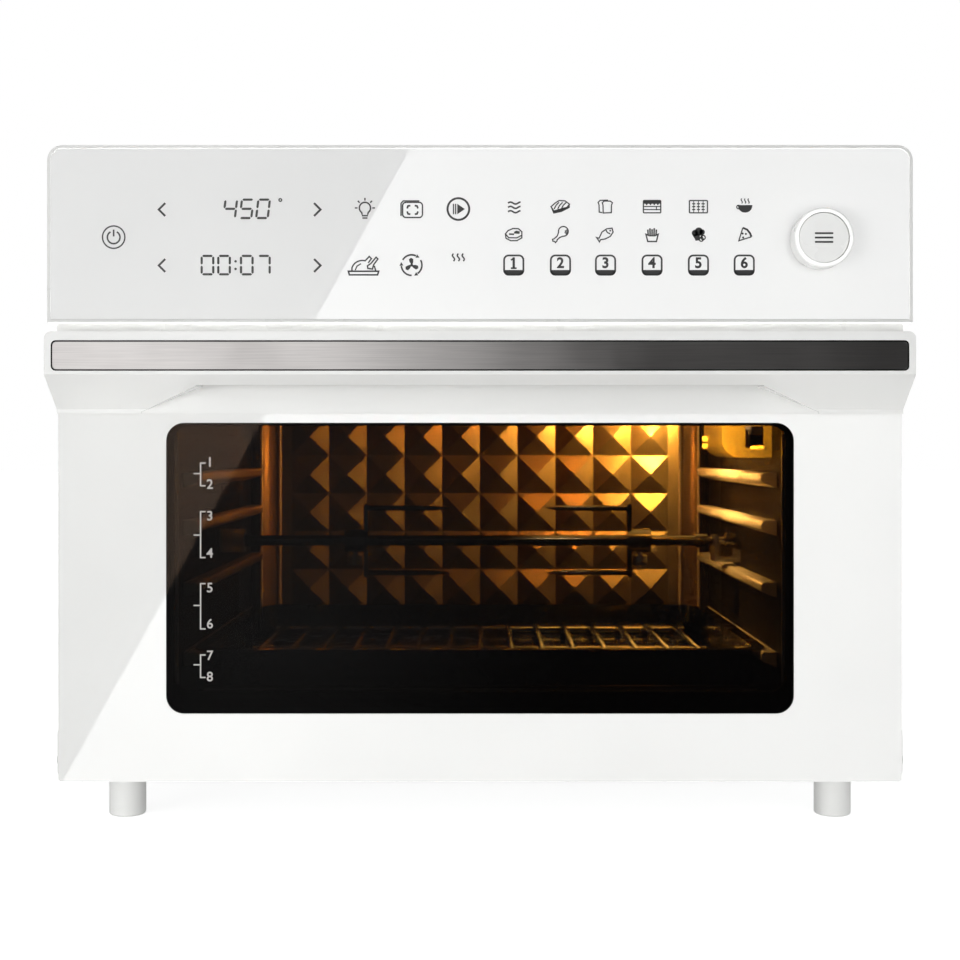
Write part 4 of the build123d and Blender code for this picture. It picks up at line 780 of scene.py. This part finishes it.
# Shelf marks on the window: four brackets with their numbers
BRACKET_X = -156.4
brackets = ((207.2, 201.3, 194.5), (180.0, 166.9, 154.3), (139.7, 127.5, 114.4), (99.8, 94.3, 87.2))
for index, (top, middle, bottom) in enumerate(brackets, 1):
    mark = Print(BRACKET_X, 0, WINDOW_FACE)
    mark.line([(2.8, top), (0, top), (0, bottom), (2.8, bottom)], 0.75)
    mark.line([(0, middle), (-3.9, middle)], 0.75)
    mark.done(f"shelf_bracket_{index}", "door", "window_ink")
NUMBER_X = BRACKET_X + 5.2
for number, z in enumerate((207.5, 195.1, 177.4, 156.6, 137.2, 117.0, 99.3, 87.4), 1):
    name = f"shelf_number_{number}"
    numeral(name, str(number), NUMBER_X, z, WINDOW_FACE, 5.4, "door", "window_ink", 0.10)


# Three bars on the push cap
cap_low, cap_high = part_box("knob_cap")
KNOB_X = (cap_low.x + cap_high.x) / 2 / MM
KNOB_Z = (cap_low.z + cap_high.z) / 2 / MM
bars = Print(KNOB_X, KNOB_Z, cap_low.y)
for z in (-2.4, 0, 2.4):
    bars.line([(-5.0, z), (5.0, z)], 1.0)
bars.done("knob_bars", "knob_button", "knob_ink")


# Formed corner strips between the back wall and the side walls, drawn in plan in millimetres
def corner_strip(name, side):
    """Upright channel with a rolled bead along each edge, the beads in a paler steel that paints their
    highlights.
    """
    bead_radius = 1.3
    bead_points = 9
    inner = Vector((155.9, 164.2))
    outer = Vector((169.7, 160.4))
    plan = []
    for centre, start, end in ((inner, 180, -10), (outer, 150, -60)):
        for step in range(bead_points):
            angle = -math.radians(start + (end - start) * step / (bead_points - 1))
            plan.append(centre + bead_radius * Vector((math.cos(angle), math.sin(angle))))
        if centre is inner:
            plan += [Vector((159.6, 163.7)), Vector((163.4, 162.8)), Vector((166.8, 161.0))]
    plan += [Vector((171.6, 161.6)), Vector((166.0, 165.2)), Vector((156.0, 165.3))]
    low, high, draft = 60.2, 263.4, 0.8
    work = bmesh.new()
    rows = []
    for z, shrink in ((low, 0.96), (low + draft, 1.0), (high - draft, 1.0), (high, 0.96)):
        middle = sum(plan, Vector((0, 0))) / len(plan)
        ring = [middle + (p - middle) * shrink for p in plan]
        rows.append([work.verts.new((side * p.x * MM, p.y * MM, z * MM)) for p in ring])
    for lower, upper in zip(rows, rows[1:]):
        for i in range(len(plan)):
            j = (i + 1) % len(plan)
            work.faces.new((lower[i], lower[j], upper[j], upper[i]))
    work.faces.new(rows[0])
    work.faces.new(rows[-1][::-1])
    bmesh.ops.recalc_face_normals(work, faces=work.faces)
    mesh = bpy.data.meshes.new(name)
    work.to_mesh(mesh)
    work.free()
    mesh.shade_smooth()
    link(name, mesh, "root", "strip_steel")
    # The beads take the paler steel as a painted highlight
    mesh.materials.append(finishes["bead_highlight_steel"])
    beads = [*range(8), *range(12, 20)]
    for face in mesh.polygons:
        if face.index % len(plan) in beads and len(face.vertices) == 4:
            face.material_index = 1


corner_strip("corner_strip_left", -1)
corner_strip("corner_strip_right", 1)


def turned(name, places, radius, length, along, finish):
    """Bolt heads or beads: short round bars with chamfered ends, in millimetres."""
    sides = 12
    work = bmesh.new()
    axis = Vector(along).normalized()
    up = axis.orthogonal().normalized()
    side = axis.cross(up)
    for place in places:
        rows = []
        for step, size in ((0.0, 0.7), (0.12, 1.0), (0.88, 1.0), (1.0, 0.7)):
            middle = Vector(place) + axis * length * step
            ring = [
                middle + (up * math.cos(a) + side * math.sin(a)) * radius * size
                for a in (2 * math.pi * k / sides for k in range(sides))
            ]
            rows.append([work.verts.new(p * MM) for p in ring])
        for lower, upper in zip(rows, rows[1:]):
            for i in range(sides):
                j = (i + 1) % sides
                work.faces.new((lower[i], lower[j], upper[j], upper[i]))
        work.faces.new(rows[0][::-1])
        work.faces.new(rows[-1])
    bmesh.ops.recalc_face_normals(work, faces=work.faces)
    mesh = bpy.data.meshes.new(name)
    work.to_mesh(mesh)
    work.free()
    link(name, mesh, "root", finish)


# Rolled lip under the hood's opening and two bolts on its side, in the paler steel that paints their
# highlights
turned("hood_lip", [(163.2, -104.0, 215.9)], 1.3, 8.4, (1, 0, 0), "bead_highlight_steel")
turned("hood_bolts", [(142.6, -45.0, 217.0), (142.6, -45.0, 221.6)], 1.9, 3.6, (1, 0, 0), "bead_highlight_steel")


# Thin black border inside the handle's groove: painted shade for the deep gap around the insert
groove = Print(0.0, 265.65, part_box("handle_insert")[0].y)
groove.rounded(463.9, 15.7, 2.2, 0.8)
groove.done("handle_groove_shade", "door", "black_border")


# Floor, world and lamps
def stage_floor():
    paint = Paint("floor_paint")
    path = paint.tree.nodes.new("ShaderNodeLightPath")
    grain = paint.noise(4.0, 2.0)
    paint.put("Base Color", paint.blend(paint.spread(grain, 0, 1), rgb("F6F6F5"), rgb("F9F9F8")))
    paint.put("Roughness", 0.9)
    paint.put("Specular IOR Level", 0.0)
    paint.put("Emission Color", (1.0, 1.0, 1.0, 1.0))
    seen = paint.add("ShaderNodeMath", {0: path.outputs["Is Camera Ray"], 1: 0.75}, operation="MULTIPLY")
    paint.put("Emission Strength", seen.outputs[0])
    mesh = bpy.data.meshes.new("floor")
    half = 14.0
    corners = [(-half, -half, 0), (half, -half, 0), (half, half, 0), (-half, half, 0)]
    mesh.from_pydata(corners, [], [(0, 1, 2, 3)])
    mesh.materials.append(paint.material)
    floor = bpy.data.objects.new("floor", mesh)
    scene.collection.objects.link(floor)
    floor.visible_glossy = False


def world_light():
    """White to the camera and in reflections, plain soft light on the object."""
    world = bpy.data.worlds.new("world")
    world.use_nodes = True
    scene.world = world
    tree = world.node_tree
    background = tree.nodes["Background"]
    path = tree.nodes.new("ShaderNodeLightPath")
    seen = tree.nodes.new("ShaderNodeMath")
    seen.operation = "MAXIMUM"
    tree.links.new(path.outputs["Is Camera Ray"], seen.inputs[0])
    tree.links.new(path.outputs["Is Transmission Ray"], seen.inputs[1])
    level = tree.nodes.new("ShaderNodeMix")
    level.data_type = "RGBA"
    soft = tree.nodes.new("ShaderNodeCombineXYZ")
    level.inputs[7].default_value = (1.0, 1.0, 1.0, 1.0)
    tree.links.new(seen.outputs[0], level.inputs[0])
    tree.links.new(soft.outputs[0], level.inputs[6])

    # Mirror directions in front of the object: u runs right
    place = tree.nodes.new("ShaderNodeTexCoord")
    split = tree.nodes.new("ShaderNodeSeparateXYZ")
    tree.links.new(place.outputs["Generated"], split.inputs[0])

    def maths(operation, first, second):
        node = tree.nodes.new("ShaderNodeMath")
        node.operation = operation
        for index, value in enumerate((first, second)):
            if isinstance(value, bpy.types.NodeSocket):
                tree.links.new(value, node.inputs[index])
            else:
                node.inputs[index].default_value = value
        return node.outputs[0]

    def ramp(source, start, end, low, high):
        node = tree.nodes.new("ShaderNodeMapRange")
        node.interpolation_type = "SMOOTHSTEP"
        for key, value in (("From Min", start), ("From Max", end), ("To Min", low), ("To Max", high)):
            node.inputs[key].default_value = value
        tree.links.new(source, node.inputs["Value"])
        return node.outputs[0]

    ahead = maths("MULTIPLY", split.outputs["Y"], -1.0)
    overhead = ramp(split.outputs["Z"], 0.0, 0.9, 1.0, 0.55)
    around = maths("MULTIPLY", overhead, ramp(ahead, -0.1, 0.8, 0.28, 0.95))
    for axis, tone in enumerate((0.99, 1.0, 1.01)):
        tree.links.new(maths("MULTIPLY", around, tone), soft.inputs[axis])
    forward = maths("MAXIMUM", ahead, 0.001)
    u = maths("DIVIDE", split.outputs["X"], forward)
    split_level = maths("MULTIPLY", ramp(u, -0.16, 0.07, 1.0, 0.03), ramp(ahead, -0.15, 0.05, 0.0, 1.0))
    mirror_level = maths("ADD", split_level, ramp(ahead, -0.15, 0.05, 0.6, 0.0))
    combined = tree.nodes.new("ShaderNodeMix")
    combined.data_type = "RGBA"
    tree.links.new(path.outputs["Is Glossy Ray"], combined.inputs[0])
    tree.links.new(level.outputs[2], combined.inputs[6])
    gray = tree.nodes.new("ShaderNodeCombineXYZ")
    for axis in range(3):
        tree.links.new(mirror_level, gray.inputs[axis])
    tree.links.new(gray.outputs[0], combined.inputs[7])
    tree.links.new(combined.outputs[2], background.inputs["Color"])
    background.inputs["Strength"].default_value = 1.0


def area_lamp(name, place, target, width, height, power, colour=(1, 1, 1)):
    data = bpy.data.lights.new(name, "AREA")
    data.shape = "RECTANGLE"
    data.size = width
    data.size_y = height
    data.energy = power
    data.color = colour
    lamp = bpy.data.objects.new(name, data)
    scene.collection.objects.link(lamp)
    lamp.location = place
    lamp.rotation_mode = "QUATERNION"
    lamp.rotation_quaternion = (Vector(target) - Vector(place)).to_track_quat("-Z", "Y")
    lamp.visible_camera = False
    return lamp


def only_for(lamp, *names):
    """Lets a lamp light only the named nodes."""
    group = bpy.data.collections.new(lamp.name + "_receivers")
    for name in names:
        group.objects.link(scene.objects[name])
    lamp.light_linking.receiver_collection = group


def all_but(lamp, *names):
    """Keeps a lamp off the named nodes."""
    only_for(lamp, *names)
    for entry in lamp.light_linking.receiver_collection.collection_objects:
        entry.light_linking.link_state = "EXCLUDE"


# One straight edge of light crosses the front: it is given in view slopes, right and up
EDGE_START = -0.1540
EDGE_LEAN = 0.5528
CARD_GAP = 0.5


def gloss_card(name, side, width, radiance, colour, *names):
    """Lamp that only mirrors in the named fronts, on one side of the straight edge."""
    reach = DOOR_FACE - CAMERA_Y + CARD_GAP
    along = Vector((EDGE_LEAN, 0, 1)).normalized()
    across = Vector((along.z, 0, -along.x)) * side
    start = Vector((EDGE_START * reach, DOOR_FACE - CARD_GAP, CAMERA_Z))
    centre = start + across * width * reach / 2 + along * 0.075 * reach
    height = 0.8 * reach
    power = 4 * radiance * width * reach * height
    lamp = area_lamp(name, centre, centre + Vector((0, 1, 0)), width * reach, height, power, colour)
    facing = Matrix((Vector((along.z, 0, -along.x)), along, Vector((0, -1, 0)))).transposed()
    lamp.rotation_quaternion = facing.to_quaternion()
    lamp.visible_diffuse = False
    lamp.visible_transmission = False
    only_for(lamp, *names)


def warm_lamp(name, place, power, size, colour=(1.0, 0.48, 0.10)):
    """Small round lamp inside the cavity."""
    data = bpy.data.lights.new(name, "POINT")
    data.energy = power
    data.color = colour
    data.shadow_soft_size = size
    lamp = bpy.data.objects.new(name, data)
    scene.collection.objects.link(lamp)
    lamp.location = place
    lamp.visible_camera = False
    return lamp


def without_shadow(lamp):
    lamp.data.use_shadow = False
    lamp.data.cycles.use_multiple_importance_sampling = False


stage_floor()
world_light()
key = area_lamp("key", (-1.0, -1.25, 0.12), (0, 0, 0.2), 0.8, 0.4, 5.2)
fill = area_lamp("fill", (1.4, -2.3, 0.30), (0, 0, 0.2), 1.6, 0.5, 5.6)
low = area_lamp("low", (0, -1.0, 0.05), (0, -0.17, 0.2), 1.6, 0.08, 2.2)
for lamp in (key, fill, low):
    lamp.visible_glossy = False
    all_but(lamp, "handle_insert")
under = area_lamp("under", (0, -0.30, 0.015), (0, -0.19, 0.25), 0.7, 0.05, 0.27)
under.visible_glossy = False
only_for(under, "handle_shell", "control_bezel", "feet")
gap = area_lamp("gap", (0, -1.0, 0.26), (0, -0.13, 0.282), 1.4, 0.10, 1.6)
gap.visible_glossy = False
only_for(gap, "front_frame", "cabinet_shell")
chin = area_lamp("chin", (0, -0.160, 0.10), (0, -0.160, 0.285), 0.6, 0.05, 3.0)
chin.visible_glossy = False
without_shadow(chin)
only_for(chin, "control_bezel")

# The case and the outer edges of the front have lamps of their own, behind the front's plane
CABINET = ("cabinet_shell", "rear_panel", "rear_spacers", "cord_gland", "casing_screws", "base_plate")
for name, place, power in (
    ("left", (-1.7, 0.3, 0.7), 7.0),
    ("right", (1.7, 0.3, 0.7), 7.0),
    ("back", (0.3, 1.9, 0.7), 9.0),
    ("top", (0.0, 0.1, 1.9), 7.0),
):
    lamp = area_lamp("cabinet_" + name, place, (0, 0, 0.2), 1.2, 1.0, power)
    lamp.visible_glossy = False
    only_for(lamp, *CABINET)
for name, x in (("left", -1.7), ("right", 1.7)):
    lamp = area_lamp("trim_" + name, (x, 0.7, 0.5), (0, 0, 0.2), 1.0, 0.8, 5.0)
    lamp.visible_glossy = False
    only_for(lamp, "control_bezel", "door_panel", "handle_shell", "feet", "hinge_brackets")

# Two lamps that only mirror in the fronts and in the window
FRONTS = ("control_glass", "door_panel", "knob_ring")
gloss_card("bright_side", 1, 0.62, 3.3, (1, 1, 1), *FRONTS)
gloss_card("window_veil", -1, 0.40, 5.8, (1.0, 0.70, 0.50), "window_glass")

# Warm light inside the cavity, from the hood and from under the ceiling
ORANGE = (1.0, 0.40, 0.045)
YELLOW = (1.0, 0.56, 0.12)
STRIPS = ("corner_strip_left", "corner_strip_right")
SPIT = ("spit_rod", "spit_fork_left", "spit_fork_right")


oven_top = area_lamp("oven_top", (0.105, 0.060, 0.2615), (0.105, 0.080, 0.10), 0.13, 0.13, 0.35, YELLOW)
oven_top.visible_transmission = False
oven_lamp = warm_lamp("oven_lamp", (0.128, -0.045, 0.250), 0.25, 0.012, ORANGE)
for lamp in (oven_top, oven_lamp):
    all_but(lamp, "back_wall")
for name, place, power, colour, lit in (
    ("wall_glow", (0.140, 0.132, 0.246), 5.5, (1.0, 0.44, 0.05), ("back_wall",)),
    ("wall_fade", (0.080, 0.080, 0.262), 1.2, (1.0, 0.24, 0.02), ("back_wall",)),
    ("ledge_fade", (-0.060, 0.020, 0.262), 0.8, (1.0, 0.30, 0.04), ("side_wall_left",)),
    ("strip_glow", (0.0, 0.020, 0.200), 1.2, (1.0, 0.32, 0.03), STRIPS),
    ("spit_glow", (0.060, -0.080, 0.262), 0.6, (1.0, 0.70, 0.35), SPIT),
    ("floor_glow", (0.100, -0.105, 0.070), 0.05, ORANGE, ("floor_pan", "crumb_tray", "lower_elements")),
    ("ledge_ends", (0.120, -0.200, 0.190), 0.5, ORANGE, ("side_wall_right",)),
):
    glow = warm_lamp(name, place, power, 0.012, colour)
    without_shadow(glow)
    only_for(glow, *lit)
hood_glow = warm_lamp("hood_glow", (0.110, -0.140, 0.225), 14.0, 0.010, (1.0, 0.42, 0.02))
only_for(hood_glow, "lamp_hood", "hood_lip", "hood_bolts")
tube_place, tube_target = (0.140, 0.005, 0.252), (0.176, 0.005, 0.200)
ledge_tube = area_lamp("ledge_tube", tube_place, tube_target, 0.010, 0.26, 12.0, (1.0, 0.55, 0.14))
ledge_tube.visible_transmission = False
only_for(ledge_tube, "side_wall_right")
rack_glow = area_lamp("rack_glow", (0.085, 0.160, 0.112), (0.085, 0.0, 0.100), 0.12, 0.012, 0.05, YELLOW)
only_for(rack_glow, "wire_rack")
